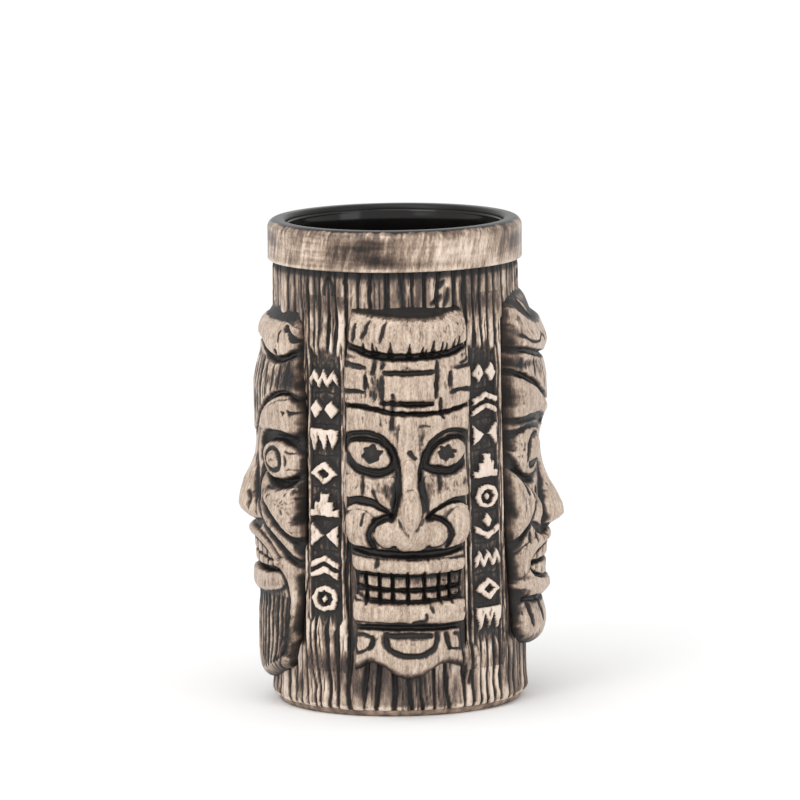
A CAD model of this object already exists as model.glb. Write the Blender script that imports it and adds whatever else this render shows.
import math

import bpy
import numpy as np
from mathutils import Matrix, Vector


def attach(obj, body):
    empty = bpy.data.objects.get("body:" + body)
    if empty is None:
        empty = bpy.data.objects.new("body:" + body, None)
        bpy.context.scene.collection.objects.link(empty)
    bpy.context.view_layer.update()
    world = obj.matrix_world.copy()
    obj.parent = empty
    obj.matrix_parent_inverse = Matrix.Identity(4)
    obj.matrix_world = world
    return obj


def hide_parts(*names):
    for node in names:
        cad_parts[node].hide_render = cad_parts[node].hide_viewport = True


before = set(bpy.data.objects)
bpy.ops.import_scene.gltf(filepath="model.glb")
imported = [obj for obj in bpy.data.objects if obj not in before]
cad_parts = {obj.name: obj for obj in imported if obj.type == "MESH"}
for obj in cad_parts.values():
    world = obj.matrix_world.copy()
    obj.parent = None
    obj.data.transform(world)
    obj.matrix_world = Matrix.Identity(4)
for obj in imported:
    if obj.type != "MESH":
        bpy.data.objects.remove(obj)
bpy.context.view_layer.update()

MM = 0.001
RAD = 40.0                      # arc lengths are counted at this radius, mm


# ============================================================ small numerics
def wall(z):
    """Outside radius of the tapered tumbler, mm."""
    return 40.0 + (np.asarray(z, float) - 3.0) * (38.49 - 40.0) / 139.0


def smooth(x):
    x = np.clip(x, 0.0, 1.0)
    return x * x * (3.0 - 2.0 * x)


def smax(a, b, k):
    d = np.clip(0.5 + 0.5 * (a - b) / k, 0, 1)
    return b + (a - b) * d + k * d * (1 - d)


def smin(a, b, k):
    return -smax(-a, -b, k)


_lattice = {}


def vnoise(x, y, seed):
    """Smooth value noise, -1..1, one cell per unit."""
    if seed not in _lattice:
        _lattice[seed] = np.random.RandomState(seed).rand(256, 256) * 2 - 1
    g = _lattice[seed]
    xi, yi = np.floor(x).astype(int), np.floor(y).astype(int)
    fx, fy = x - xi, y - yi
    fx, fy = fx * fx * (3 - 2 * fx), fy * fy * (3 - 2 * fy)
    x0, x1, y0, y1 = xi & 255, (xi + 1) & 255, yi & 255, (yi + 1) & 255
    a = g[x0, y0] * (1 - fx) + g[x1, y0] * fx
    b = g[x0, y1] * (1 - fx) + g[x1, y1] * fx
    return a * (1 - fy) + b * fy


def fbm(x, y, seed, octaves=4, gain=0.55):
    out, amp, tot = 0.0, 1.0, 0.0
    for o in range(octaves):
        out = out + amp * vnoise(x * 2 ** o + 17.3 * o, y * 2 ** o - 9.1 * o, seed + o)
        tot += amp
        amp *= gain
    return out / tot


def blur(a, r, wrap=False):
    """Three running means of half width r cells, near a Gaussian."""
    r = max(int(round(r)), 1)
    for _ in range(3):
        for ax in (0, 1):
            pad = [(0, 0), (0, 0)]
            pad[ax] = (r + 1, r)
            p = np.pad(a, pad, mode="wrap" if (wrap and ax == 1) else "edge")
            c = np.cumsum(p, axis=ax)
            n = a.shape[ax]
            hi = np.take(c, np.arange(2 * r + 1, 2 * r + 1 + n), axis=ax)
            lo = np.take(c, np.arange(0, n), axis=ax)
            a = (hi - lo) / (2 * r + 1)
    return a


def curve(pts, closed=False, n=8):
    """Catmull-Rom points through pts."""
    p = [np.array(q, float) for q in pts]
    m = len(p)
    out = []
    for i in range(m if closed else m - 1):
        if closed:
            a, b, c, d = p[i - 1], p[i], p[(i + 1) % m], p[(i + 2) % m]
        else:
            a, b, c, d = p[max(i - 1, 0)], p[i], p[i + 1], p[min(i + 2, m - 1)]
        for t in np.arange(n) / n:
            out.append(0.5 * ((2 * b) + (c - a) * t + (2 * a - 5 * b + 4 * c - d) * t * t
                              + (3 * b - a - 3 * c + d) * t ** 3))
    if not closed:
        out.append(p[-1])
    return np.array(out)


def line_dist(x, y, pts, closed=False):
    """Distance to a polyline and the position along it, 0..1."""
    q = np.vstack([pts, pts[:1]]) if closed else pts
    seg = np.hypot(*(q[1:] - q[:-1]).T)
    cum = np.concatenate([[0], np.cumsum(seg)])
    best = np.full(x.shape, 1e9)
    where = np.zeros(x.shape)
    for i in range(len(q) - 1):
        ax, ay = q[i]
        dx, dy = q[i + 1] - q[i]
        L2 = dx * dx + dy * dy
        if L2 < 1e-12:
            continue
        t = np.clip(((x - ax) * dx + (y - ay) * dy) / L2, 0, 1)
        d = (x - ax - t * dx) ** 2 + (y - ay - t * dy) ** 2
        m = d < best
        best = np.where(m, d, best)
        where = np.where(m, cum[i] + t * seg[i], where)
    return np.sqrt(best), where / max(cum[-1], 1e-9)


def inside(x, y, pts):
    c = np.zeros(x.shape, bool)
    n = len(pts)
    for i in range(n):
        x0, y0 = pts[i]
        x1, y1 = pts[(i + 1) % n]
        if y0 == y1:
            continue
        m = ((y0 > y) != (y1 > y)) & (x < (x1 - x0) * (y - y0) / (y1 - y0) + x0)
        c ^= m
    return c


class Field:
    """Height over the wall (mm) and dark wash (0..1) on a grid of arc length
    and level.  Features are laid out in (s, z); mirror folds s at zero."""

    def __init__(self, S, Z, base, seed, mirror=False, wobble=0.16):
        self.S, self.Z, self.H = S, Z, base.astype(float).copy()
        self.K = np.zeros(S.shape)
        self.seed = seed
        x = np.abs(S) if mirror else S
        self.x = x + wobble * vnoise(S / 1.7, Z / 1.7, seed + 50) + 0.5 * wobble * vnoise(S / 0.7, Z / 0.7, seed + 51)
        self.y = Z + wobble * vnoise(S / 1.7, Z / 1.7, seed + 52) + 0.5 * wobble * vnoise(S / 0.7, Z / 0.7, seed + 53)

    def near(self, pts, margin):
        lo, hi = pts.min(0) - margin, pts.max(0) + margin
        return np.nonzero((self.x > lo[0]) & (self.x < hi[0]) & (self.y > lo[1]) & (self.y < hi[1]))

    def groove(self, pts, w=1.2, d=1.2, ink=1.0, closed=False, taper=0.35, curved=True, soft=None):
        """A carved line: w wide and d deep, thinner at its ends by taper."""
        p = curve(pts, closed) if curved and len(pts) > 2 else np.array(pts, float)
        e = soft if soft else min(0.55 * w, 0.55)
        ix = self.near(p, w + 2 * e + 1.0)
        if not len(ix[0]):
            return self
        dist, t = line_dist(self.x[ix], self.y[ix], p, closed)
        half = 0.5 * w * (1 - (0 if closed else taper) * np.abs(2 * t - 1) ** 3)
        g = smooth((half + e - dist) / (2 * e))
        v = np.sqrt(np.clip(1 - (dist / (half + e)) ** 2, 0, 1))
        self.H[ix] -= d * (0.55 * g + 0.45 * g * v)
        halo = smooth((half + 1.9 * e + 0.25 - dist) / (2.2 * e))
        self.K[ix] = np.maximum(self.K[ix], ink * (0.72 * halo + 0.28 * g))
        return self

    def ridge(self, pts, w=1.4, d=0.8, ink=-0.25, closed=False, taper=0.5):
        p = curve(pts, closed) if len(pts) > 2 else np.array(pts, float)
        ix = self.near(p, w + 1.0)
        if not len(ix[0]):
            return self
        dist, t = line_dist(self.x[ix], self.y[ix], p, closed)
        half = 0.5 * w * (1 - (0 if closed else taper) * np.abs(2 * t - 1) ** 3)
        g = np.sqrt(np.clip(1 - (dist / half) ** 2, 0, 1))
        self.H[ix] += d * g
        self.K[ix] += ink * smooth(g)
        return self

    def sd(self, pts, closed_curve=True, margin=6.0):
        p = curve(pts, True) if closed_curve else np.array(pts, float)
        ix = self.near(p, margin)
        dist, _ = line_dist(self.x[ix], self.y[ix], p, True)
        return ix, np.where(inside(self.x[ix], self.y[ix], p), -dist, dist)

    def sink(self, pts, d=1.5, ink=1.0, soft=0.7, curved=True, halo=0.5):
        """A hollow with a closed outline."""
        ix, sd = self.sd(pts, curved, soft + halo + 1.0)
        g = smooth((soft - sd) / (2 * soft))
        self.H[ix] -= d * g
        self.K[ix] = np.maximum(self.K[ix], ink * smooth((soft + halo - sd) / (2 * soft + halo)))
        return self

    def raise_(self, pts, d=1.0, soft=0.45, curved=True, ink=None, edge_ink=0.0, level=None):
        """A plateau with rounded edges, d proud, or brought to a level."""
        ix, sd = self.sd(pts, curved, soft + 1.6)
        g = smooth((soft - sd) / (2 * soft))
        if level is None:
            self.H[ix] += d * g
        else:
            self.H[ix] += (level - self.H[ix]) * g
        if ink is not None:
            self.K[ix] += (ink - self.K[ix]) * g
        if edge_ink:
            ring = np.exp(-((sd - 0.45) / 0.5) ** 2)
            self.K[ix] = np.maximum(self.K[ix], edge_ink * ring)
        return self

    def pillow(self, pts, d, reach, curved=True, ink=None, power=2.0, edge_ink=0.0):
        """A swelling whose top is round: full height reach mm from its edge."""
        ix, sd = self.sd(pts, curved, 2.0)
        q = np.clip(-sd / reach, 0, 1)
        g = (1 - (1 - q) ** power) ** (1 / power)
        self.H[ix] += d * g
        if ink is not None:
            self.K[ix] += (ink - self.K[ix]) * smooth(q * 2)
        if edge_ink:
            self.K[ix] = np.maximum(self.K[ix], edge_ink * np.exp(-(sd / 0.6) ** 2))
        return self

    def dome(self, cx, cz, rx, rz, d, k=0.9, turn=0.0, power=2.0, on=None):
        """An egg that grows out of what is there (smooth union)."""
        a = math.radians(turn)
        u, v = self.x - cx, self.y - cz
        u, v = u * math.cos(a) + v * math.sin(a), -u * math.sin(a) + v * math.cos(a)
        q = (np.abs(u / rx)) ** power + (np.abs(v / rz)) ** power
        ix = np.nonzero(q < 1.6)
        base = self.H[ix] if on is None else on
        g = np.sqrt(np.clip(1 - q[ix], 0, 1)) - 0.6 * np.clip(q[ix] - 1, 0, 1)
        self.H[ix] = smax(self.H[ix], base + d * g, k)
        return self

    def shade(self, cx, cz, rx, rz, ink, power=2.0):
        q = (np.abs((self.x - cx) / rx)) ** power + (np.abs((self.y - cz) / rz)) ** power
        self.K += ink * np.exp(-q * 1.2)
        return self

    def scratches(self, box, count, length, w=0.35, d=0.16, ink=0.55, lean=0.12, seed=0, across=False):
        r = np.random.RandomState(self.seed * 7 + seed)
        x0, x1, z0, z1 = box
        for _ in range(count):
            x, z = r.uniform(x0, x1), r.uniform(z0, z1)
            L = length * r.uniform(0.4, 1.3)
            a = r.normal(0, lean) + (math.pi / 2 if across else 0)
            p = [(x, z), (x + 0.5 * L * math.sin(a) + r.normal(0, 0.12), z + 0.5 * L * math.cos(a)),
                 (x + L * math.sin(a), z + L * math.cos(a))]
            self.groove(p, w * r.uniform(0.7, 1.4), d * r.uniform(0.5, 1.4), ink * r.uniform(0.4, 1.0), taper=0.9)
        return self

    def finish(self, cell, tool=0.13, grain=0.05, wash=0.0, wrap=False):
        """Knife marks, grain, and the wash that settles in every hollow."""
        S, Z = self.S, self.Z
        self.H += tool * fbm(S / 5.0, Z / 7.5, self.seed + 3, 3)
        self.H += grain * fbm(S / 0.8, Z / 5.0, self.seed + 5, 3)
        self.H += 0.022 * fbm(S / 0.5, Z / 0.6, self.seed + 6, 2)
        deep = blur(self.H, 1.5 / cell, wrap) - self.H
        fine = blur(self.H, 0.55 / cell, wrap) - self.H
        wide = blur(self.H, 3.6 / cell, wrap) - self.H
        k = self.K + 0.72 * np.clip(deep / 0.55, -0.30, 1.0) + 0.45 * np.clip(fine / 0.16, -0.5, 1.0)
        k += 0.28 * np.clip(wide / 1.2, -0.5, 1.0)
        k += 0.13 * fbm(S / 0.5, Z / 0.9, self.seed + 7, 2)
        k += 0.30 * fbm(S / 1.3, Z / 3.6, self.seed + 8, 3) * smooth((k + 0.15) / 0.4)
        stain = smooth((vnoise(S / 4.2, Z / 5.0, self.seed + 9) - 0.05) / 0.5)
        k += stain * (0.14 + 0.42 * fbm(S / 0.7, Z / 1.8, self.seed + 10, 3))
        k += 0.10 * fbm(S / 2.6, Z / 3.4, self.seed + 11, 3)
        self.ink = np.clip(k + wash, -0.35, 1.25)
        return self


# ============================================================== mesh building
def mesh_from(name, verts, faces, uvs, ink, tone=None):
    """faces is a list of (n, k) index arrays, uvs one (n, k, 2) array for each."""
    me = bpy.data.meshes.new(name)
    loops = np.concatenate([f.reshape(-1) for f in faces])
    counts = np.concatenate([np.full(len(f), f.shape[1]) for f in faces])
    starts = np.concatenate([[0], np.cumsum(counts)[:-1]])
    me.vertices.add(len(verts))
    me.vertices.foreach_set("co", (np.asarray(verts, float) * MM).astype(np.float32).ravel())
    me.loops.add(len(loops))
    me.loops.foreach_set("vertex_index", loops.astype(np.int32))
    me.polygons.add(len(counts))
    me.polygons.foreach_set("loop_start", starts.astype(np.int32))
    me.polygons.foreach_set("loop_total", counts.astype(np.int32))
    me.polygons.foreach_set("use_smooth", np.ones(len(counts), bool))
    me.update(calc_edges=True)
    uv = me.uv_layers.new(name="OFBake")
    uv.data.foreach_set("uv", np.concatenate([u.reshape(-1, 2) for u in uvs]).astype(np.float32).ravel())
    a = me.attributes.new("ink", "FLOAT", "POINT")
    a.data.foreach_set("value", np.asarray(ink, np.float32).ravel())
    if tone is not None:
        a = me.attributes.new("tone", "FLOAT", "POINT")
        a.data.foreach_set("value", np.asarray(tone, np.float32).ravel())
    if me.validate(verbose=False):
        print("mesh", name, "was mended")
    o = bpy.data.objects.new(name, me)
    bpy.context.scene.collection.objects.link(o)
    return o


def place(S, Z, H, turn):
    """Points on the wall: arc length, level and height, turned about +Z."""
    a = S / RAD + math.radians(turn)
    r = wall(Z) + H
    return np.stack([r * np.sin(a), -r * np.cos(a), Z], axis=-1)


def slab(name, S, Z, H, ink, turn, depth=-0.7, segs=1, tone=None):
    """Closed solid: a fine carved front, a skirt and a coarse back inside the
    wall.  Arrays are rows (up) by columns (along s)."""
    nr, nc = S.shape
    front = place(S, Z, H, turn).reshape(-1, 3)
    back_all = place(S, Z, np.full(S.shape, depth), turn)
    need = np.zeros((nr, nc), bool)
    need[0], need[-1], need[:, 0], need[:, -1] = True, True, True, True
    step = 10
    ri = list(range(0, nr - 1, step)) + [nr - 1]
    ci = list(range(0, nc - 1, step)) + [nc - 1]
    if ri[-1] - ri[-2] < 4:
        ri.pop(-2)
    if ci[-1] - ci[-2] < 4:
        ci.pop(-2)
    need[np.ix_(ri, ci)] = True
    bid = np.full((nr, nc), -1)
    bid[need] = len(front) + np.arange(need.sum())
    verts = np.vstack([front, back_all[need]])
    fid = np.arange(nr * nc).reshape(nr, nc)

    W, L = S.max() - S.min(), Z.max() - Z.min()
    rows = np.arange(nr - 1)
    seg_of = np.minimum(rows * segs // (nr - 1), segs - 1)
    seg_len = L / segs
    k = min(0.92 / (W * segs + 1.5 * (segs - 1)), 0.92 / seg_len) if segs > 1 else 0.92 / max(W, L)
    if segs == 1:
        k *= 0.86

    def uv_of(s, z, seg):
        u = 0.02 + ((s - S.min()) + seg * (W + 1.5)) * k
        v = 0.02 + (z - Z.min() - seg * seg_len) * k
        return np.stack([u, v], axis=-1)

    f, us = [], []
    a = np.stack([fid[:-1, :-1], fid[:-1, 1:], fid[1:, 1:], fid[1:, :-1]], axis=-1)
    sq = np.stack([S[:-1, :-1], S[:-1, 1:], S[1:, 1:], S[1:, :-1]], axis=-1)
    zq = np.stack([Z[:-1, :-1], Z[:-1, 1:], Z[1:, 1:], Z[1:, :-1]], axis=-1)
    sg = np.broadcast_to(seg_of[:, None, None], sq.shape)
    f.append(a.reshape(-1, 4))
    us.append(uv_of(sq, zq, sg).reshape(-1, 4, 2))
    e = 0.5
    # bottom and top skirts
    for j, order in ((0, 0), (nr - 1, 1)):
        F0, F1, B0, B1 = fid[j, :-1], fid[j, 1:], bid[j, :-1], bid[j, 1:]
        s0, s1, z0, z1 = S[j, :-1], S[j, 1:], Z[j, :-1], Z[j, 1:]
        seg = 0 if j == 0 else segs - 1
        off = -e if j == 0 else e
        uF0, uF1, uB0, uB1 = uv_of(s0, z0, seg), uv_of(s1, z1, seg), uv_of(s0, z0 + off, seg), uv_of(s1, z1 + off, seg)
        if order == 0:
            f.append(np.stack([B0, B1, F1, F0], -1)); us.append(np.stack([uB0, uB1, uF1, uF0], 1))
        else:
            f.append(np.stack([F0, F1, B1, B0], -1)); us.append(np.stack([uF0, uF1, uB1, uB0], 1))
    for i, order in ((0, 0), (nc - 1, 1)):
        F0, F1, B0, B1 = fid[:-1, i], fid[1:, i], bid[:-1, i], bid[1:, i]
        s0, s1, z0, z1 = S[:-1, i], S[1:, i], Z[:-1, i], Z[1:, i]
        off = -e if i == 0 else e
        uF0, uF1 = uv_of(s0, z0, seg_of), uv_of(s1, z1, seg_of)
        uB0, uB1 = uv_of(s0 + off, z0, seg_of), uv_of(s1 + off, z1, seg_of)
        if order == 0:
            f.append(np.stack([B0, F0, F1, B1], -1)); us.append(np.stack([uB0, uF0, uF1, uB1], 1))
        else:
            f.append(np.stack([F0, B0, B1, F1], -1)); us.append(np.stack([uF0, uB0, uB1, uF1], 1))

    def back_uv(s, z):
        return (0.90 + 0.08 * (s - S.min()) / W, 0.90 + 0.08 * (z - Z.min()) / L)

    by_count = {}
    for p, j0 in enumerate(ri[:-1]):
        j1 = ri[p + 1]
        for q, i0 in enumerate(ci[:-1]):
            i1 = ci[q + 1]
            path = [(j0, i0)]
            if i0 == 0:
                path += [(j, 0) for j in range(j0 + 1, j1)]
            path.append((j1, i0))
            if j1 == nr - 1:
                path += [(j1, i) for i in range(i0 + 1, i1)]
            path.append((j1, i1))
            if i1 == nc - 1:
                path += [(j, i1) for j in range(j1 - 1, j0, -1)]
            path.append((j0, i1))
            if j0 == 0:
                path += [(0, i) for i in range(i1 - 1, i0, -1)]
            by_count.setdefault(len(path), []).append(
                ([bid[j, i] for j, i in path], [back_uv(S[j, i], Z[j, i]) for j, i in path]))
    for items in by_count.values():
        f.append(np.array([x[0] for x in items]))
        us.append(np.array([x[1] for x in items]))
    nb = int(need.sum())
    all_ink = np.concatenate([ink.reshape(-1), np.full(nb, 0.8)])
    all_tone = None if tone is None else np.concatenate([tone.reshape(-1), np.zeros(nb)])
    return mesh_from(name, verts, f, us, all_ink, all_tone)


def lathe(name, prof, cols, radial, ink, u_parts=4):
    """Closed ring or vessel turned about +Z.  prof: (n, 2) closed loop of
    (radius, level); radial(theta, index) gives extra radius; ink likewise.
    A point at radius 0 closes on the axis."""
    th = np.arange(cols) * 2 * math.pi / cols
    P = np.array(prof, float)
    n = len(P)
    T, I = np.meshgrid(th, np.arange(n))
    R = P[:, 0][:, None] + np.where(P[:, 0][:, None] > 0.01, radial(T, I), 0)
    V = np.stack([R * np.sin(T), -R * np.cos(T), np.broadcast_to(P[:, 1][:, None], T.shape)], -1)
    on_axis = P[:, 0] < 0.01
    ids = np.zeros((n, cols), int)
    verts, inks = [], []
    K = ink(T, I)
    c = 0
    for j in range(n):
        if on_axis[j]:
            ids[j] = c
            verts.append(V[j, :1]); inks.append(K[j, :1]); c += 1
        else:
            ids[j] = c + np.arange(cols)
            verts.append(V[j]); inks.append(K[j]); c += cols
    verts, inks = np.concatenate(verts), np.concatenate(inks)
    d = np.hypot(*(np.roll(P, -1, 0) - P).T)
    cum = np.concatenate([[0], np.cumsum(d)])
    total, girth = cum[-1], 2 * math.pi * P[:, 0].max()
    seg_w = girth / u_parts
    k = 0.95 / max(total * u_parts + 2.0 * u_parts, seg_w)
    f, us = [], []
    closed = not (on_axis[0] and on_axis[-1])
    for j in range(n if closed else n - 1):
        j2 = (j + 1) % n
        a0, a1 = ids[j], np.roll(ids[j], -1)
        b0, b1 = ids[j2], np.roll(ids[j2], -1)
        t0 = np.arange(cols) / cols * girth
        t1 = t0 + girth / cols
        part = np.minimum((np.arange(cols) * u_parts) // cols, u_parts - 1)
        y0, y1 = cum[j], cum[j + 1]
        def uv(t, y):
            return np.stack([0.02 + (part * (total + 2.0) + y) * k, 0.02 + (t - part * seg_w) * k], -1)
        if on_axis[j] and on_axis[j2]:
            continue
        if on_axis[j]:
            f.append(np.stack([a0, b1, b0], -1)); us.append(np.stack([uv(t0, y0), uv(t1, y1), uv(t0, y1)], 1))
        elif on_axis[j2]:
            f.append(np.stack([a0, a1, b0], -1)); us.append(np.stack([uv(t0, y0), uv(t1, y0), uv(t0, y1)], 1))
        else:
            f.append(np.stack([a0, a1, b1, b0], -1))
            us.append(np.stack([uv(t0, y0), uv(t1, y0), uv(t1, y1), uv(t0, y1)], 1))
    return mesh_from(name, verts, f, us, inks)


# ================================================================== the bark
def bark(Sg, Z, seed=401):
    """Slats of carved bark all round the wall: height and wash.  Sg is the arc
    length from the middle of the front, mm."""
    girth = 2 * math.pi * RAD
    r = np.random.RandomState(seed)
    edges = [-23.5, -19.4, -14.6, -10.2, -5.4, -1.0, 2.6, 7.2, 11.6, 17.4, 21.2, 24.6, 27.8, 31.0, 34.2]
    x = edges[-1]
    while x < girth - 27.5:
        x += r.uniform(1.9, 5.4)
        edges.append(x)
    edges = np.array(edges)
    edges[edges > girth / 2] -= girth
    edges = np.sort(edges)
    wob = 1.25 * vnoise(Sg / 11.0, Z / 26.0, seed + 1) + 0.65 * vnoise(Sg / 4.5, Z / 9.0, seed + 2) \
        + 0.20 * vnoise(Sg / 1.2, Z / 2.2, seed + 3)
    x = (Sg + wob + girth / 2) % girth - girth / 2
    i = np.searchsorted(edges, x)
    lo = np.where(i > 0, edges[np.maximum(i - 1, 0)], edges[-1] - girth)
    hi = np.where(i < len(edges), edges[np.minimum(i, len(edges) - 1)], edges[0] + girth)
    d = np.minimum(x - lo, hi - x)
    lift = r.uniform(-0.30, 0.30, len(edges) + 1)[i]
    width = (0.40 + 0.42 * vnoise(Sg / 5.0, Z / 12.0, seed + 4))
    g = smooth((width + 0.45 - d) / 0.9)
    q = np.clip(d / np.maximum((hi - lo) / 2, 0.3), 0, 1)
    h = lift + 0.42 * np.sqrt(1 - (1 - q) ** 2) - 0.85 * g
    # a second, finer set of splits, broken along their length
    e2 = (x * 1.37 + 0.9 * vnoise(Sg / 5.0, Z / 16.0, seed + 5)) % 2.1
    d2 = np.minimum(e2, 2.1 - e2)
    on = smooth((vnoise(Sg / 3.0, Z / 11.0, seed + 6) + 0.15) / 0.5)
    g2 = smooth((0.42 - d2) / 0.4) * on
    h -= 0.26 * g2
    h += 0.10 * fbm(Sg / 0.9, Z / 9.0, seed + 7, 3)
    k = 0.66 * g + 0.38 * g2 + 0.35 + 0.50 * fbm(Sg / 2.2, Z / 9.0, seed + 9, 3) + 0.30 * vnoise(Sg / 7.0, Z / 16.0, seed + 10)
    k += 0.16 * fbm(Sg / 0.5, Z / 3.0, seed + 11, 2) - 0.10 * q
    return h, k


# ========================================================== grids and profiles
def warp_grid(cell, left, right, bottom, top):
    """Rows and columns that follow four edges.  left/right: (level, arc),
    bottom/top: (arc, level)."""
    left, right = np.array(sorted(left), float), np.array(sorted(right), float)
    bottom, top = np.array(sorted(bottom), float), np.array(sorted(top), float)
    W = np.max(right[:, 1]) - np.min(left[:, 1])
    L = np.max(top[:, 1]) - np.min(bottom[:, 1])
    nc, nr = int(round(W / cell)) + 1, int(round(L / cell)) + 1
    U, Vv = np.meshgrid(np.linspace(0, 1, nc), np.linspace(0, 1, nr))
    S = np.min(left[:, 1]) + W * U
    for _ in range(6):
        zb = np.interp(S[0], bottom[:, 0], bottom[:, 1])
        zt = np.interp(S[-1], top[:, 0], top[:, 1])
        Z = zb[None, :] + (zt - zb)[None, :] * Vv
        sl = np.interp(Z, left[:, 0], left[:, 1])
        sr = np.interp(Z, right[:, 0], right[:, 1])
        S = sl + (sr - sl) * U
    return S, Z, U, Vv


def soft_profile(Z, pts):
    p = np.array(pts, float)
    z = np.linspace(p[0, 0], p[-1, 0], 900)
    r = np.interp(z, p[:, 0], p[:, 1])
    k = np.exp(-0.5 * (np.arange(-20, 21) * (z[1] - z[0]) / 0.55) ** 2)
    r = np.convolve(np.pad(r, 20, mode="edge"), k / k.sum(), mode="valid")
    return np.interp(Z, z, r)


def round_sides(F, dl, dr, r, low=0.10, edge=0.42):
    """The relief rolls down to the wall at its two sides."""
    d = np.minimum(dl, dr) + 0.35 * vnoise(F.S / 1.6, F.Z / 3.0, F.seed + 21)
    q = np.clip(np.minimum(dl, dr) / r, 0, 1)
    F.H = F.H * (low + (1 - low) * np.sqrt(1 - (1 - q) ** 2))
    F.ink += edge * smooth((2.6 - d) / 2.6) * (0.55 + 0.6 * (0.5 + 0.5 * vnoise(F.S / 3.0, F.Z / 6.0, F.seed + 22)))
    F.ink = np.maximum(F.ink, 1.0 * smooth((0.55 - d) / 0.6))


def round_end(F, d, r, low=0.08, ink=0.6):
    q = np.clip(d / r, 0, 1)
    F.H = F.H * (low + (1 - low) * np.sqrt(1 - (1 - q) ** 2))
    e = d + 0.5 * vnoise(F.S / 1.8, F.Z / 1.8, F.seed + 23)
    F.ink += ink * smooth((r * 0.9 - e) / (r * 0.9))
    F.ink = np.clip(F.ink, -0.35, 1.25)


def prow(F, rows, p=0.8):
    """A ridge down the middle of a face: rows of level, half width, height."""
    z, w, h = np.array(sorted(rows), float).T
    F.H += np.interp(F.y, z, h) * np.clip(1 - (F.x / np.interp(F.y, z, w)) ** 2, 0, 1) ** p


def window(z, a, b, e):
    return smooth((z - a) / e) * smooth((b - z) / e)


def side_gaps(S, U):
    w = (S[:, -1:] - S[:, :1])
    return U * w, (1 - U) * w


# ================================================================= front mask
FRONT_SEAM = [(-19.4, 100.7), (-18.5, 100.4), (-14, 100.2), (-10, 99.6), (-5, 98.3), (0, 97.8), (5, 97.8),
              (10, 98.0), (14, 98.8), (18, 100.0), (19.6, 100.9)]


def star(cx, cz, r, spikes, seed):
    g = np.random.RandomState(seed)
    pts = []
    for i in range(spikes):
        a = 2 * math.pi * (i + g.uniform(-0.20, 0.20)) / spikes + 0.3
        k = g.uniform(0.82, 1.10)
        for da, m in ((-0.10, 0.97), (0.08, 1.0)):
            pts.append((cx + r * k * m * math.cos(a + da), cz + 0.95 * r * k * m * math.sin(a + da)))
        a += math.pi / spikes
        k = g.uniform(0.60, 0.76)
        pts.append((cx + k * r * math.cos(a), cz + k * r * math.sin(a)))
    return pts


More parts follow.
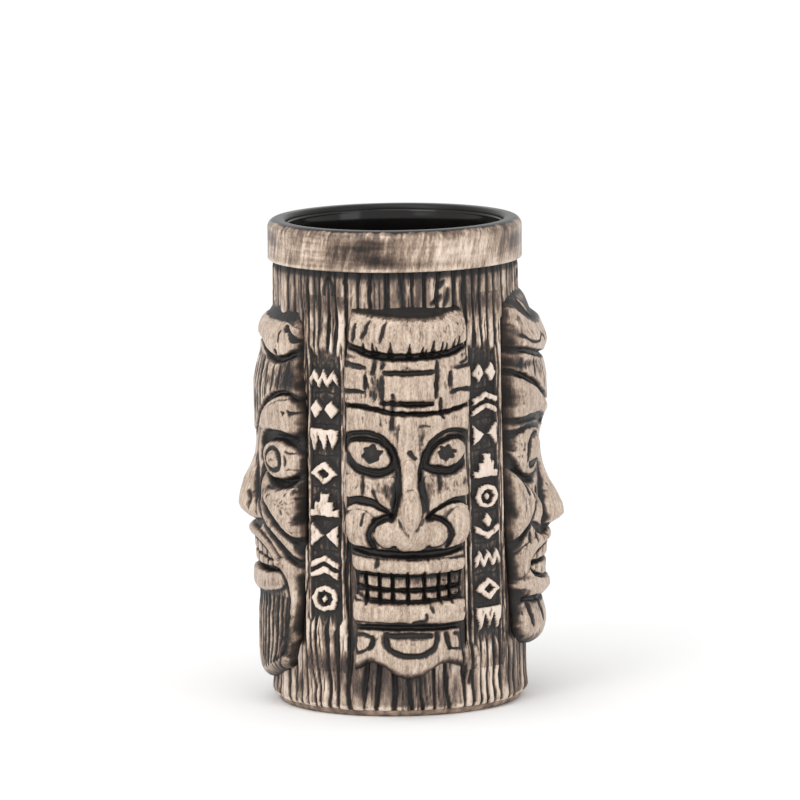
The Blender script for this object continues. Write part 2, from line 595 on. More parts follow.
def front_face():
    cell = 0.27
    S, Z, U, V_ = warp_grid(
        cell,
        [(14, -17.6), (22, -16.7), (29, -16.2), (31, -17.1), (37, -17.3), (41, -16.5), (47, -16.9), (52, -17.4),
         (56, -18.2), (60, -19.1), (65, -19.4), (75, -19.5), (85, -19.5), (90, -19.3), (98, -18.9), (101, -19.1)],
        [(14, 17.3), (22, 15.9), (29, 15.3), (31, 16.9), (38, 17.1), (41, 16.4), (47, 16.9), (52, 17.4),
         (56, 17.7), (59, 18.8), (72, 19.3), (80, 18.8), (85, 19.1), (90, 19.6), (98, 19.6), (101, 19.6)],
        [(-17.8, 14.7), (-15, 16), (-13, 17.5), (-11, 17.8), (-8, 16.5), (-5, 14), (-2, 12.5), (0, 12.2),
         (3, 13), (6, 15), (9, 16.8), (11, 17.2), (14, 16.3), (17.2, 15.2)], FRONT_SEAM)
    base = soft_profile(Z, [(12, 45.0), (18, 45.9), (24, 46.3), (27.5, 46.1), (29.2, 45.6), (30.4, 45.9),
                            (33, 46.4), (37, 46.0), (38, 45.4), (46, 45.4), (48, 46.0), (51, 46.0), (53.5, 45.4),
                            (56, 45.6), (61, 46.1), (66, 46.0), (71, 45.7), (75, 45.2), (84, 45.0), (90, 45.4),
                            (94, 46.0), (101, 45.9)]) - wall(Z)
    base = base - 1.7 * (np.abs(S) / 19.4) ** 2.4
    F = Field(S, Z, base, 11)
    # --- forehead
    F.dome(0.5, 93.5, 15, 5.5, 0.5, 0.6)
    F.shade(-8, 96.3, 5, 2.2, 0.28).shade(0.2, 84.5, 3.4, 6.0, 0.22)
    F.groove([(-4.2, 101), (-4.4, 96.8), (-4.5, 93.3)], 0.9, 0.8, 1.0)
    F.groove([(9.2, 101), (9.4, 98.5), (9.9, 96.4)], 0.8, 0.7, 1.0)
    F.groove([(8.7, 97.6), (10.3, 96.0)], 0.6, 0.5, 0.9, curved=False)
    F.scratches((-9, -5, 92.5, 97), 9, 3.6, 0.3, 0.14, 0.6, seed=1)
    F.scratches((-3, 12, 91, 96.5), 10, 2.6, 0.22, 0.07, 0.35, seed=2)
    F.groove([(3.2, 93.8), (4.6, 94.1), (5.9, 93.8)], 0.35, 0.15, 0.6)
    F.sink([(-0.5, 85.6), (0.6, 86.3), (1.4, 84.9), (2.3, 83.6), (1.6, 83.2), (0.4, 84.4)], 0.45, 0.95, 0.25)
    # --- eyes
    left_ball = [(-18.4, 87.2), (-17, 88.9), (-14, 89.6), (-10, 89.3), (-7.2, 87.9), (-5.5, 85.6), (-4.7, 83),
                 (-4.9, 81.6), (-6.4, 80.5), (-9, 79.9), (-12, 80.3), (-15, 81.6), (-17.2, 83.7), (-18.4, 85.6)]
    right_ball = [(5.6, 81.5), (5.8, 83.6), (7.1, 86.2), (9.2, 88.1), (12, 89.3), (15, 89.5), (17.2, 88.2),
                  (18.2, 86.6), (18.0, 84.6), (16.8, 82.4), (14.4, 80.6), (11, 79.9), (8.2, 80.3), (6.4, 80.9)]
    for ball, sgn in ((left_ball, -1), (right_ball, 1)):
        ix, sd = F.sd(ball, True, 5)
        F.H[ix] -= 1.35 * np.exp(-(np.clip(sd, 0, 9) / 1.9) ** 2)
        ring = smooth((2.6 + 0.3 * vnoise(F.x[ix], F.y[ix], 12) - sd) / 0.9) * (sd > -0.2)
        F.K[ix] = np.maximum(F.K[ix], 1.02 * ring * smooth((F.y[ix] - 80.2 - 0.25 * (sgn * F.x[ix] - 5)) / 2.0))
        F.pillow(ball, 2.35, 5.0, ink=-0.12)
        F.groove(ball, 0.9, 0.7, 1.0, closed=True)
    F.groove([(-19.2, 90.0), (-16, 91.6), (-12, 92.0), (-9, 91.2), (-6.2, 89), (-4.5, 86), (-3.3, 82.5),
              (-2.6, 78), (-2.6, 74), (-3.2, 70), (-3.8, 67), (-4.7, 65.4)], 1.35, 1.35, 1.0, taper=0.25)
    F.groove([(19.6, 89.7), (17, 91.2), (14, 92), (11, 91.8), (8.5, 90.5), (6.3, 88), (4.9, 85), (3.9, 82),
              (3.0, 79), (2.6, 76.5)], 1.25, 1.25, 1.0, taper=0.35)
    F.groove([(3.1, 78.5), (2.8, 74.5), (3.0, 71), (3.8, 67.4)], 1.05, 0.9, 0.95, taper=0.7)
    F.groove([(-18.8, 83.6), (-16, 80.5), (-13, 79), (-9.5, 78.3), (-6.5, 78.9), (-4.0, 80.6)], 1.2, 1.1, 1.0)
    F.groove([(4.3, 80.6), (7, 79.2), (10, 78.6), (13, 78.6), (16, 80), (18.6, 82.4)], 1.0, 1.0, 1.0)
    F.sink(star(-10.5, 84.9, 3.45, 6, 3), 0.75, 1.25, 0.22, curved=False, halo=0.2)
    F.sink(star(10.9, 84.9, 3.0, 7, 5), 0.75, 1.25, 0.22, curved=False, halo=0.2)
    F.shade(-17.5, 84.5, 1.6, 3, 0.45).shade(8.6, 81.2, 3, 1.0, 0.4)
    # --- under the eyes
    F.pillow([(-19, 77.6), (-15, 78), (-10, 77), (-6, 77.4), (-4, 77), (-3.9, 70), (-5.4, 67.6), (-8, 70.2),
              (-12, 71.6), (-19, 71.6)], 0.55, 1.6)
    F.pillow([(4.6, 77.4), (8, 77.6), (13, 77.2), (18.4, 79), (19, 71), (13, 70.8), (9, 69.4), (5.6, 66.8),
              (4.6, 70)], 0.55, 1.6)
    F.groove([(-13.2, 78), (-13.0, 75), (-13.3, 72)], 0.6, 0.5, 0.95)
    F.groove([(-9.9, 73.2), (-9.5, 71.6), (-8.8, 70)], 0.6, 0.5, 0.95)
    F.groove([(8.7, 78.4), (8.8, 76.2), (8.8, 73.8)], 0.75, 0.6, 0.95)
    F.shade(-9.5, 76.2, 3.2, 1.5, 0.30).shade(-6.5, 73.5, 2.4, 3.4, 0.26).shade(9.5, 76.5, 4.0, 1.4, 0.26)
    F.scratches((-12, -5, 71, 77), 12, 2.0, 0.25, 0.08, 0.5, seed=3)
    F.scratches((5, 17, 70.5, 77), 14, 2.4, 0.25, 0.08, 0.42, seed=4)
    # --- cheek shelf and cheeks
    F.sink([(-19.8, 70.6), (-18, 71.0), (-15, 71.6), (-12, 71.2), (-9, 70.0), (-6.5, 67.7), (-4.6, 65.6), (-6.5, 66.4),
            (-9, 67.6), (-12, 68.6), (-16, 69.0), (-19.8, 67.4)], 1.9, 1.05, 0.55, halo=0.35)
    F.sink([(19.8, 70.6), (16, 70.6), (13, 70.2), (10, 69.2), (7, 67.1), (4.6, 65.2), (5.6, 64.9), (8, 66.9),
            (11, 68.4), (14, 68.8), (17, 68.2), (19.8, 66.6)], 1.8, 1.0, 0.5, halo=0.3)
    F.dome(-14.6, 61.4, 5.4, 6.2, 1.9, 0.7).dome(14.7, 61.4, 4.9, 6.2, 1.9, 0.7)
    F.shade(-18.6, 61, 1.6, 6, 0.4).shade(18.6, 60, 1.4, 6, 0.45).shade(-16.5, 66.2, 4, 1.2, 0.55)
    F.shade(14, 65.5, 3.4, 1.3, 0.5)
    F.groove([(-12.6, 66.2), (-13.0, 64.4), (-13.4, 62.6)], 0.7, 0.5, 0.9)
    F.scratches((-17, -11, 58, 66), 9, 2.2, 0.22, 0.07, 0.4, seed=5)
    # --- nose
    F.dome(-0.1, 80, 3.3, 20, 1.3, 1.0)
    F.dome(-0.1, 71.5, 3.3, 12, 2.7, 1.2)
    F.dome(0.3, 65, 4.6, 9, 3.4, 1.4)
    flat = F.H.copy()
    F.dome(-5.9, 59.7, 4.2, 4.5, 4.3, 0.9, on=5.4)
    F.dome(6.6, 59.8, 4.5, 4.6, 4.3, 0.9, on=5.4)
    F.dome(0.4, 60.2, 7.0, 6.3, 5.6, 1.2, on=5.3)
    F.K += 0.0 * flat
    F.groove([(-4.9, 65.2), (-7.3, 64.9), (-9.7, 63.2), (-11.1, 60.6), (-11.3, 57.8), (-10.0, 55.0)], 1.5, 1.3, 1.05,
             taper=0.2)
    F.groove([(4.7, 64.9), (7.2, 64.8), (9.8, 63.2), (11.6, 60.8), (11.9, 57.8), (10.8, 55.2)], 1.15, 1.1, 0.9,
             taper=0.3)
    F.shade(-1.4, 60.5, 1.8, 5.5, 0.34).shade(-7.2, 61.5, 1.6, 2.6, 0.24).shade(3.2, 55.8, 4.2, 0.9, 0.6)
    F.shade(-4.2, 55.6, 1.6, 0.9, 0.5).shade(0.5, 75.5, 1.0, 6.5, 0.26)
    F.scratches((-5, 4, 57, 68), 22, 2.4, 0.22, 0.06, 0.42, lean=0.25, seed=6)
    F.scratches((-1.8, 1.6, 67, 84), 10, 4.0, 0.25, 0.08, 0.5, lean=0.06, seed=7)
    F.groove([(-18.2, 55.8), (-14, 54.6), (-10, 53.7), (-5, 53.1), (0, 52.9), (5, 53.0), (10, 53.3), (14, 54),
              (18.0, 55.8)], 1.9, 1.8, 1.1, taper=0.1)
    # --- lips and teeth
    mouth = [(-16.4, 48.0), (-10, 47.2), (-5, 46.7), (0, 46.5), (5, 46.4), (10, 46.5), (15.9, 47.6),
             (15.6, 41.5), (15.2, 38.4), (12, 38.2), (8, 37.9), (5, 37.3), (0, 37.2), (-5, 37.5), (-10, 38.0),
             (-13, 38.7), (-15.8, 40.4)]
    F.sink(mouth, 2.2, 0.8, 0.5, curved=False, halo=0.3)
    F.pillow([(-17.1, 53.3), (-13, 52.4), (-8, 51.7), (-3, 51.4), (3, 51.3), (9, 51.6), (13, 51.3), (17.0, 51.2),
              (17.2, 48.4), (14, 47.2), (10, 46.8), (5, 46.7), (0, 46.8), (-5, 47.1), (-10, 47.6), (-15, 48.1),
              (-17.2, 49.2)], 1.45, 2.1, curved=False, ink=-0.10, edge_ink=0.75)
    F.pillow([(-17.3, 39.2), (-14, 38.2), (-10, 37.6), (-5, 37.1), (0, 36.8), (5, 37.0), (8, 37.6), (12, 38.0),
              (17.0, 38.2), (17.2, 33), (15.6, 31.0), (10, 30.7), (5, 30.8), (0, 31.1), (-5, 31.4), (-10, 31.6),
              (-15.4, 31.8), (-17.3, 33)], 1.35, 2.4, curved=False, ink=-0.12, edge_ink=0.8)
    gaps = [-15.6, -12.6, -8.6, -5.0, -0.6, 4.1, 8.4, 11.8, 15.3]
    for row, (zt, zc) in enumerate(((46.3, 41.9), (41.0, 37.9))):
        for a, b in zip(gaps[:-1], gaps[1:]):
            m = 0.5 * (a + b)
            dz = 1.1 * (abs(m) / 15) ** 2
            top, bot = zt + dz * 0.7, zc + dz * 0.9
            F.raise_([(a + 0.45, bot + 0.25), (b - 0.45, bot + 0.25), (b - 0.4, top - 0.3), (a + 0.4, top - 0.3)],
                     1.15, 0.38, curved=False, ink=0.56 if row == 0 else 0.38)
            F.shade(m, top - 0.4, 1.6, 0.8, 0.25)
    F.groove([(-15.4, 43.2), (-12, 42.4), (-8, 41.8), (-4, 41.4), (0, 41.1), (4, 41.0), (8, 41.2), (12, 41.7),
              (15.6, 42.5)], 0.9, 1.0, 1.15, taper=0.1)
    for g in gaps[1:-1]:
        F.groove([(g - 0.1, 47.2), (g, 42), (g + 0.15, 37.4)], 0.72, 1.0, 1.15, taper=0.2)
    F.scratches((9.6, 15.6, 38.5, 47.0), 26, 2.0, 0.34, 0.35, 0.9, lean=0.9, seed=8)
    F.shade(13.6, 42.5, 2.6, 4.5, 0.35)
    F.scratches((-15, -9, 39.5, 47), 8, 1.4, 0.22, 0.15, 0.6, lean=0.9, seed=9)
    F.groove([(-9.1, 52.2), (-9.0, 50.8), (-9.4, 49.3)], 0.85, 0.7, 1.0, taper=0.7)
    F.groove([(5.3, 38.4), (5.5, 36.6), (6.0, 34.6)], 0.95, 0.8, 1.0, taper=0.7)
    F.groove([(0.8, 31.4), (2.2, 31.7), (3.6, 31.6), (4.3, 32.6), (4.1, 33.9)], 0.85, 0.7, 1.1, taper=0.4)
    F.groove([(15.2, 35.4), (15.3, 34.0)], 0.4, 0.3, 0.9, curved=False)
    F.scratches((-7, 14, 48, 51), 30, 1.6, 0.22, 0.06, 0.5, lean=0.8, seed=10)
    F.scratches((-15, 15, 32, 37), 16, 2.0, 0.22, 0.05, 0.3, lean=0.7, seed=11)
    F.shade(1.5, 50.3, 8, 1.2, 0.22).shade(0, 46.0, 14, 0.7, 0.35)
    F.groove([(-16.6, 29.9), (-10, 29.9), (-4, 29.7), (2, 29.5), (8, 29.4), (15.8, 29.7)], 1.5, 1.5, 1.1, taper=0.1)
    F.shade(0, 30.8, 14, 0.8, 0.3)
    # --- chin
    F.dome(0.5, 19.5, 10, 8, 0.9, 1.0)
    F.groove([(-5.4, 27.3), (0, 27.2), (5.6, 26.9)], 1.7, 0.9, 1.15, taper=0.25)
    F.groove([(-6.6, 27.6), (-6.9, 25.4), (-5.7, 22.8), (-3.0, 21.2), (0.4, 20.7), (3.8, 21.2), (6.2, 23.1),
              (7.2, 25.4), (7.2, 27.6)], 1.5, 0.9, 1.15, taper=0.3)
    F.groove([(-15.4, 27.3), (-13.2, 27.5), (-11.4, 26.8)], 1.1, 0.7, 1.05)
    F.groove([(-10.7, 26.9), (-10.6, 25.0), (-11.7, 22.9)], 1.2, 0.8, 1.05)
    F.groove([(-15.7, 26.6), (-15.9, 23.6), (-15.2, 21.6), (-12.6, 22.6)], 0.7, 0.5, 0.95)
    F.groove([(10.1, 27.4), (10.2, 25.2), (11.0, 22.8)], 1.2, 0.8, 1.05)
    F.groove([(11.0, 22.7), (12.4, 22.3), (14.0, 22.2)], 0.6, 0.5, 0.9)
    F.groove([(12.6, 27.3), (14.2, 26.6), (14.6, 24.4), (14.3, 22.2)], 1.0, 0.7, 1.05)
    F.scratches((-4.2, 4.6, 22.4, 25.2), 9, 0.9, 0.22, 0.06, 0.22, lean=0.05, seed=12)
    F.shade(-0.2, 24.8, 4.6, 1.6, 0.40)
    F.scratches((-13, 12, 15.5, 21), 18, 1.6, 0.22, 0.06, 0.35, lean=0.6, seed=13)
    F.shade(-8.2, 26.5, 1.8, 2.4, 0.35).shade(9, 27.8, 1.4, 1.4, 0.35).shade(-11.5, 18, 3.4, 1.0, 0.5)
    F.shade(11.5, 17.6, 3.4, 1.0, 0.5)
    F.groove(FRONT_SEAM, 1.25, 1.5, 1.15, taper=0.0)
    dl, dr = side_gaps(S, U)
    F.shade(-10.5, 76, 4.5, 4.2, 0.26).shade(9.5, 76.5, 4.5, 4.2, 0.32).shade(0, 86.5, 2.4, 4.0, 0.24).shade(0.5, 62.4, 5, 1.6, 0.22)
    F.shade(-3.5, 93.5, 4.5, 2.6, 0.22).shade(6.5, 94, 4, 2.6, 0.18).shade(16.8, 76, 3.0, 4.0, 0.26).shade(2.0, 53.4, 6, 1.6, 0.22)
    F.scratches((-17, 17, 68, 96), 70, 2.2, 0.34, 0.10, 0.62, lean=0.2, seed=41)
    F.scratches((-16, 16, 34, 58), 34, 1.6, 0.30, 0.08, 0.55, lean=0.5, seed=42)
    F.finish(cell, wash=-0.05)
    round_sides(F, dl, dr, 2.3)
    round_end(F, Z - Z[0:1, :], 3.2, ink=1.0)
    return F, S, Z


def front_crown():
    cell = 0.27
    top = [(-18, 130.4), (-16, 131.0), (-12, 131.5), (-6, 131.7), (0, 131.7), (8, 131.5), (14, 130.9), (18, 130.3),
           (18.8, 130.0)]
    S, Z, U, V_ = warp_grid(
        cell,
        [(97, -19.1), (101, -19.1), (106, -19.2), (112, -19.0), (115.5, -18.8), (117, -18.4), (122, -17.9), (127, -17.7), (132, -17.8)],
        [(97, 19.6), (101, 19.7), (106, 19.9), (112, 19.9), (115.5, 19.3), (117, 18.7), (122, 18.5), (127, 18.5), (132, 18.6)],
        FRONT_SEAM, top)
    base = soft_profile(Z, [(97, 45.9), (101, 46.1), (110, 46.2), (112, 45.7), (114.6, 45.5), (116, 45.0), (117.4, 45.7),
                            (119, 46.4), (121.5, 46.9), (124.5, 46.7), (127, 45.6), (128.6, 43.6), (130.2, 41.2), (131.7, 39.2)]) - wall(Z)
    base = base - 1.3 * (np.abs(S) / 19.4) ** 2.4
    F = Field(S, Z, base, 23)
    lower = [(-18.5, 130.2), (-15, 128.9), (-12, 128.3), (-6, 127.2), (0, 126.6), (6, 126.5), (10, 127.1), (14, 128.7),
             (18.8, 129.9)]
    # dark top of the roll, hollowed behind its lip
    lo = np.interp(S, [p[0] for p in lower], [p[1] for p in lower])
    rag = 0.35 * vnoise(S / 0.55, Z * 0 + 3.0, 77) + 0.25 * vnoise(S / 0.25, Z * 0 + 9.0, 78)
    over = smooth((Z - lo - rag) / 0.7)
    F.H -= 1.5 * smooth((Z - lo) / 2.2)
    F.K = np.maximum(F.K, 1.1 * over)
    fringe = smooth((Z - lo + 1.5 + 2.2 * vnoise(S / 0.35, Z * 0 + 1.5, 79)) / 1.2)
    F.K = np.maximum(F.K, 0.40 * fringe)
    # cuts in the roll
    F.groove([(-10.5, 127.2), (-11.4, 125.2), (-12.4, 122.2)], 0.9, 0.7, 1.0, taper=0.7)
    F.groove([(-5.8, 127.0), (-6.7, 124.2), (-7.4, 120.8)], 0.8, 0.6, 1.0, taper=0.8)
    F.groove([(-14.6, 126.4), (-14.9, 123.4), (-15.2, 120.8)], 0.8, 0.6, 0.95, taper=0.8)
    F.groove([(-16.7, 127.6), (-16.9, 124), (-17.0, 120.6)], 0.5, 0.5, 0.8, taper=0.5)
    for s, w, h in ((-12.3, 0.9, 2.2), (-9.5, 1.3, 3.2), (-8.4, 0.7, 2.2), (-4.8, 1.5, 3.8), (0.6, 1.5, 3.6), (4.3, 1.2, 2.5),
                    (5.3, 0.8, 1.8), (7.3, 1.3, 3.9), (9.8, 0.8, 3.0), (11.0, 0.7, 2.4), (13.4, 0.9, 2.6), (14.8, 0.8, 3.2)):
        zb = np.interp(s, [-18.5, -10, 0, 10, 18.5], [120.6, 117.0, 116.0, 116.9, 119.8])
        w, h = w * 1.35, h * 1.1
        F.sink([(s - 0.5 * w, zb - 0.6), (s + 0.5 * w, zb - 0.6), (s + 0.16 * w, zb + h * 0.6), (s + 0.05, zb + h),
                (s - 0.18 * w, zb + h * 0.55)], 0.95, 1.1, 0.25, curved=False, halo=0.3)
    F.scratches((-15, 17, 118.5, 126), 52, 3.4, 0.24, 0.09, 0.46, lean=0.10, seed=1)
    F.scratches((10, 17.5, 118, 124), 18, 2.2, 0.24, 0.10, 0.6, lean=0.2, seed=2)
    F.shade(-16.5, 123.5, 1.6, 4.5, 0.40).shade(14, 118.8, 3.6, 1.2, 0.35).shade(-13.5, 120.5, 3, 1.6, 0.25)
    F.groove([(-19.2, 120.9), (-15, 118.7), (-10, 116.7), (-5, 115.9), (0, 115.7), (5, 115.8), (10, 116.3),
              (14, 117.4), (19.4, 120.0)], 2.1, 2.1, 1.15, taper=0.15)
    # head band
    F.raise_([(-6.5, 102.4), (7.1, 102.2), (7.2, 109.9), (-6.4, 110.1)], 1.15, 0.40, curved=False, ink=-0.15)
    F.groove([(-6.3, 111.0), (-2, 110.8), (3, 110.8), (7.0, 111.0)], 1.15, 0.8, 1.0, taper=0.15)
    F.groove([(-7.2, 101.2), (-3, 101.0), (2, 100.9), (6.6, 100.9)], 1.2, 1.0, 1.0, taper=0.3)
    F.groove([(-1.5, 101.0), (2.5, 100.6), (6.6, 100.7)], 1.6, 0.9, 1.0, taper=0.4)
    F.groove([(8.4, 114.4), (8.3, 112), (7.9, 107), (7.5, 103.2)], 0.8, 0.7, 1.0, taper=0.3)
    F.groove([(-8.9, 115.4), (-9.3, 113), (-9.8, 110.8)], 1.0, 0.8, 1.0, taper=0.4)
    F.groove([(-6.8, 115.4), (-6.8, 113.8), (-7.0, 112.4)], 0.9, 0.8, 1.0, taper=0.4)
    F.sink([(-8.4, 115.2), (-7.3, 115.2), (-7.4, 114.0), (-8.3, 113.9)], 0.5, 0.4, 0.3)
    F.groove([(-11.9, 109.8), (-11.7, 108), (-11.9, 106.2)], 0.8, 0.6, 1.0, taper=0.4)
    F.groove([(12.2, 110.4), (12.1, 108.6), (12.0, 106.6)], 0.75, 0.6, 0.95, taper=0.6)
    F.raise_([(-19.4, 106.1), (-12.4, 105.6), (-12.2, 111.9), (-19.4, 112.6)], 0.5, 0.4, curved=False)
    F.raise_([(12.9, 105.4), (19.9, 105.6), (19.9, 112.2), (12.9, 111.6)], 0.5, 0.4, curved=False)
    F.groove([(-18.6, 113.9), (-15.5, 113.4), (-12.2, 112.6)], 1.0, 0.6, 0.95, taper=0.3)
    F.groove([(-18.2, 104.9), (-15, 105.3), (-12.6, 104.9)], 0.95, 0.6, 1.0, taper=0.4)
    F.groove([(12.6, 104.2), (15, 105.2), (18.6, 104.6)], 1.0, 0.6, 1.0, taper=0.4)
    F.groove([(14.4, 111.6), (16.4, 112.0), (18.6, 112.8)], 0.6, 0.5, 0.95, taper=0.4)
    F.groove([(15.8, 113.2), (17.2, 113.9), (18.8, 115.2)], 0.5, 0.4, 0.9, taper=0.4)
    F.groove([(-4.2, 104.0), (-4.2, 101), (-4.3, 96.5)], 1.0, 0.8, 1.05, taper=0.5)
    F.groove([(9.2, 102.4), (9.2, 100), (9.5, 96.8)], 0.8, 0.8, 1.0, taper=0.6)
    F.groove([(-7.0, 102.6), (-6.7, 101.4), (-6.8, 99.4)], 0.8, 0.7, 1.0, taper=0.5)
    F.scratches((-12, -7, 101, 109.5), 34, 2.6, 0.30, 0.13, 0.75, lean=0.10, seed=3)
    F.scratches((-18, -12, 100.5, 104.5), 9, 1.4, 0.25, 0.1, 0.5, lean=0.3, seed=4)
    F.scratches((-4, 5, 111.5, 114.6), 12, 1.5, 0.3, 0.12, 0.5, lean=0.8, seed=5)
    F.scratches((8.6, 19, 101, 115), 22, 2.6, 0.22, 0.06, 0.35, lean=0.08, seed=6)
    F.shade(-9.3, 105.5, 2.0, 4.2, 0.36).shade(-15.5, 101.8, 3, 1.0, 0.26).shade(0, 112.4, 5, 0.8, 0.3)
    F.groove(FRONT_SEAM, 1.25, 1.5, 1.15, taper=0.0)
    F.finish(cell, wash=-0.05)
    dl, dr = side_gaps(S, U)
    round_sides(F, dl, dr, 2.0)
    return F, S, Z


# ================================================================== left mask
# Features of the side masks are laid out in the distance from their middle;
# the same features are used both ways, with their own scratches and grain.
SQUEEZE_L, SQUEEZE_R = 1.09, 1.15
LEFT_SEAM = [(-30.2, 99.9), (-29, 100.6), (-27, 102.6), (-22, 102.0), (-16, 99.5), (-10, 95), (-5, 89.5), (-2, 87.2),
             (0, 86.8), (2, 87.2), (5, 89.5), (10, 95), (16, 99.5), (22, 102.0), (27, 102.6), (29, 100.6), (30.2, 99.9)]


def both(pts):
    """(level, half width) to left and right edges."""
    return [(z, -w) for z, w in pts], [(z, w) for z, w in pts]


def left_face():
    cell = 0.33
    lw, rw = both([(7, 15), (9, 18.5), (12, 21.4), (15, 23.2), (20, 25.2), (28, 26.8), (36, 27.8), (46, 28.6), (58, 29.4),
                   (70, 29.6), (85, 29.6), (96, 29.6), (103, 29.2)])
    bottom = [(-25, 15.5), (-22, 13.4), (-17, 11.6), (-12, 10.0), (-6, 8.2), (0, 7.3), (6, 8.2), (12, 10.0), (17, 11.6),
              (22, 13.4), (25, 15.5)]
    S, Z, U, V_ = warp_grid(cell, lw, rw, bottom, LEFT_SEAM)
    base = soft_profile(Z, [(7, 43.9), (12, 44.7), (17, 45.2), (30, 45.1), (34, 44.6), (36.4, 44.7), (38.6, 45.5), (42, 45.4),
                            (46, 45.9), (52, 46.3), (56, 46.6), (60, 46.6), (66, 46.3), (73, 45.5), (77, 45.2), (84, 45.0),
                            (90, 45.4), (96, 45.9), (104, 45.7)]) - wall(Z)
    base = base - 1.5 * (np.abs(S) / 29.6) ** 3 - 1.2 * (np.abs(S) / 22) ** 2 * window(Z, 34, 60, 6)
    F = Field(S, Z, base, 37, mirror=True)
    # --- temple plate and brow
    F.pillow([(9.2, 89.8), (10.4, 92.6), (14.6, 96.2), (19, 98.4), (24, 99.9), (30, 99.8), (30.4, 90.0), (20, 89.8), (13, 89.6)],
             0.9, 2.4, ink=-0.08)
    F.sink([(27.0, 97.4), (29.4, 96.4), (28.0, 95.4)], 0.5, 1.0, 0.25, curved=False)
    F.sink([(24.6, 96.6), (26.2, 96.2), (25.2, 95.2)], 0.4, 0.9, 0.25, curved=False)
    F.shade(6, 88, 3.6, 5, 0.34).shade(12, 94, 2.4, 2, 0.25)
    F.scratches((11, 30, 90, 99), 34, 1.8, 0.24, 0.06, 0.4, lean=0.6, seed=7)
    # --- eye
    ball = [(9.6, 81.0), (11.0, 84.6), (15, 86.4), (20, 87.0), (25, 86.2), (29.2, 84.2), (30.6, 80), (29, 76.4), (25, 74.7),
            (19.5, 74.0), (14.5, 74.8), (11.2, 77.4)]
    ix, sd = F.sd(ball, True, 6)
    F.H[ix] -= 1.7 * np.exp(-(np.clip(sd, 0, 9) / 2.3) ** 2)
    F.pillow(ball, 2.7, 6.0, ink=0.02)
    F.groove(ball, 1.1, 0.8, 0.95, closed=True)
    F.groove([(8.6, 80.5), (9.4, 84.6), (12.0, 87.2), (16, 88.4), (21, 88.6), (26, 88.0), (30.6, 86.8)], 2.7, 1.4, 1.12,
             taper=0.15)
    F.sink([(24, 89.2), (30.8, 89.8), (30.8, 84.4), (27.4, 85.6), (24, 87.2)], 0.6, 1.0, 0.8, halo=0.6)
    F.sink([(13.2, 80.6), (14.4, 83.4), (17.6, 84.7), (21.0, 84.0), (23.2, 81.6), (23.2, 79.0), (21.2, 76.9), (17.8, 76.3),
            (14.8, 77.6)], 0.8, 1.12, 0.35, halo=0.2)
    F.raise_([(15.2, 80.6), (16.2, 82.5), (18.4, 83.3), (20.6, 82.4), (21.4, 80.4), (20.8, 78.6), (18.4, 77.9), (16.2, 78.8)],
             1.0, 0.35, ink=0.02)
    F.groove([(16.6, 82.0), (18.4, 82.6), (20.0, 81.6)], 0.3, 0.2, 0.8)
    F.groove([(17.0, 79.4), (18.2, 80.6), (19.6, 80.2)], 0.3, 0.2, 0.6)
    F.groove([(24.6, 83.6), (26.4, 83.2), (28.6, 83.4)], 0.45, 0.4, 0.85)
    F.groove([(24.6, 82.0), (25.4, 80.6), (24.8, 79.2)], 0.9, 0.4, 0.95)
    F.groove([(25.4, 77.8), (27.0, 78.2), (28.8, 77.8)], 0.45, 0.4, 0.7)
    F.scratches((22, 30, 75, 86), 16, 1.2, 0.3, 0.1, 0.5, lean=0.9, seed=8)
    F.groove([(13.0, 76.0), (16.0, 73.9), (20, 73.0), (24.0, 73.1), (27.4, 74.4)], 2.3, 1.4, 1.18, taper=0.3)
    F.groove([(26.4, 74.0), (30.8, 76.2)], 1.0, 0.8, 0.6, taper=0.5, curved=False)
    # --- cheek
    cheek = [(13.0, 71.8), (17, 71.0), (22, 71.0), (27, 72.2), (30.4, 71.0), (30.6, 62), (30.2, 55.0), (26.4, 57.6),
             (21.8, 61.2), (17.2, 64.8), (13.6, 67.4)]
    F.pillow(cheek, 1.7, 4.6, ink=0.06)
    F.scratches((13, 30, 56, 73), 90, 1.5, 0.32, 0.12, 0.70, lean=0.8, seed=1)
    F.shade(15.0, 69.5, 3.4, 2.6, 0.34).shade(28.5, 73, 3, 2.4, 0.35).shade(18, 70.8, 7, 1.2, 0.3)
    # --- folds from the nose to the jaw
    F.groove([(9.6, 79.5), (9.8, 73), (10.4, 68), (12.0, 64.2)], 1.5, 1.1, 1.0, taper=0.4)
    F.ridge([(11.6, 77.5), (11.8, 72), (12.6, 67.4), (14.6, 64.0), (19, 60.6)], 0.9, 0.6, ink=-0.55)
    F.groove([(14.0, 66.6), (17.0, 63.2), (21.0, 60.0), (24.8, 57.0), (30.6, 52.6)], 1.7, 1.5, 1.18, taper=0.35)
    F.ridge([(12.4, 66.0), (14.8, 62.0), (20.6, 57.6), (26.0, 52.8), (30.4, 49.4)], 2.6, 0.7, ink=0.10)
    F.groove([(11.0, 65.8), (12.4, 62.2), (14.6, 59.4), (19.8, 54.6), (25.6, 49.4), (30.4, 46.0)], 2.1, 1.8, 1.18, taper=0.25)
    F.sink([(26.6, 56.0), (31.0, 54.8), (31.0, 48.8), (28.4, 50.6)], 0.8, 0.9, 0.8)
    F.scratches((12, 28, 50, 62), 34, 1.5, 0.28, 0.10, 0.6, lean=1.0, seed=2)
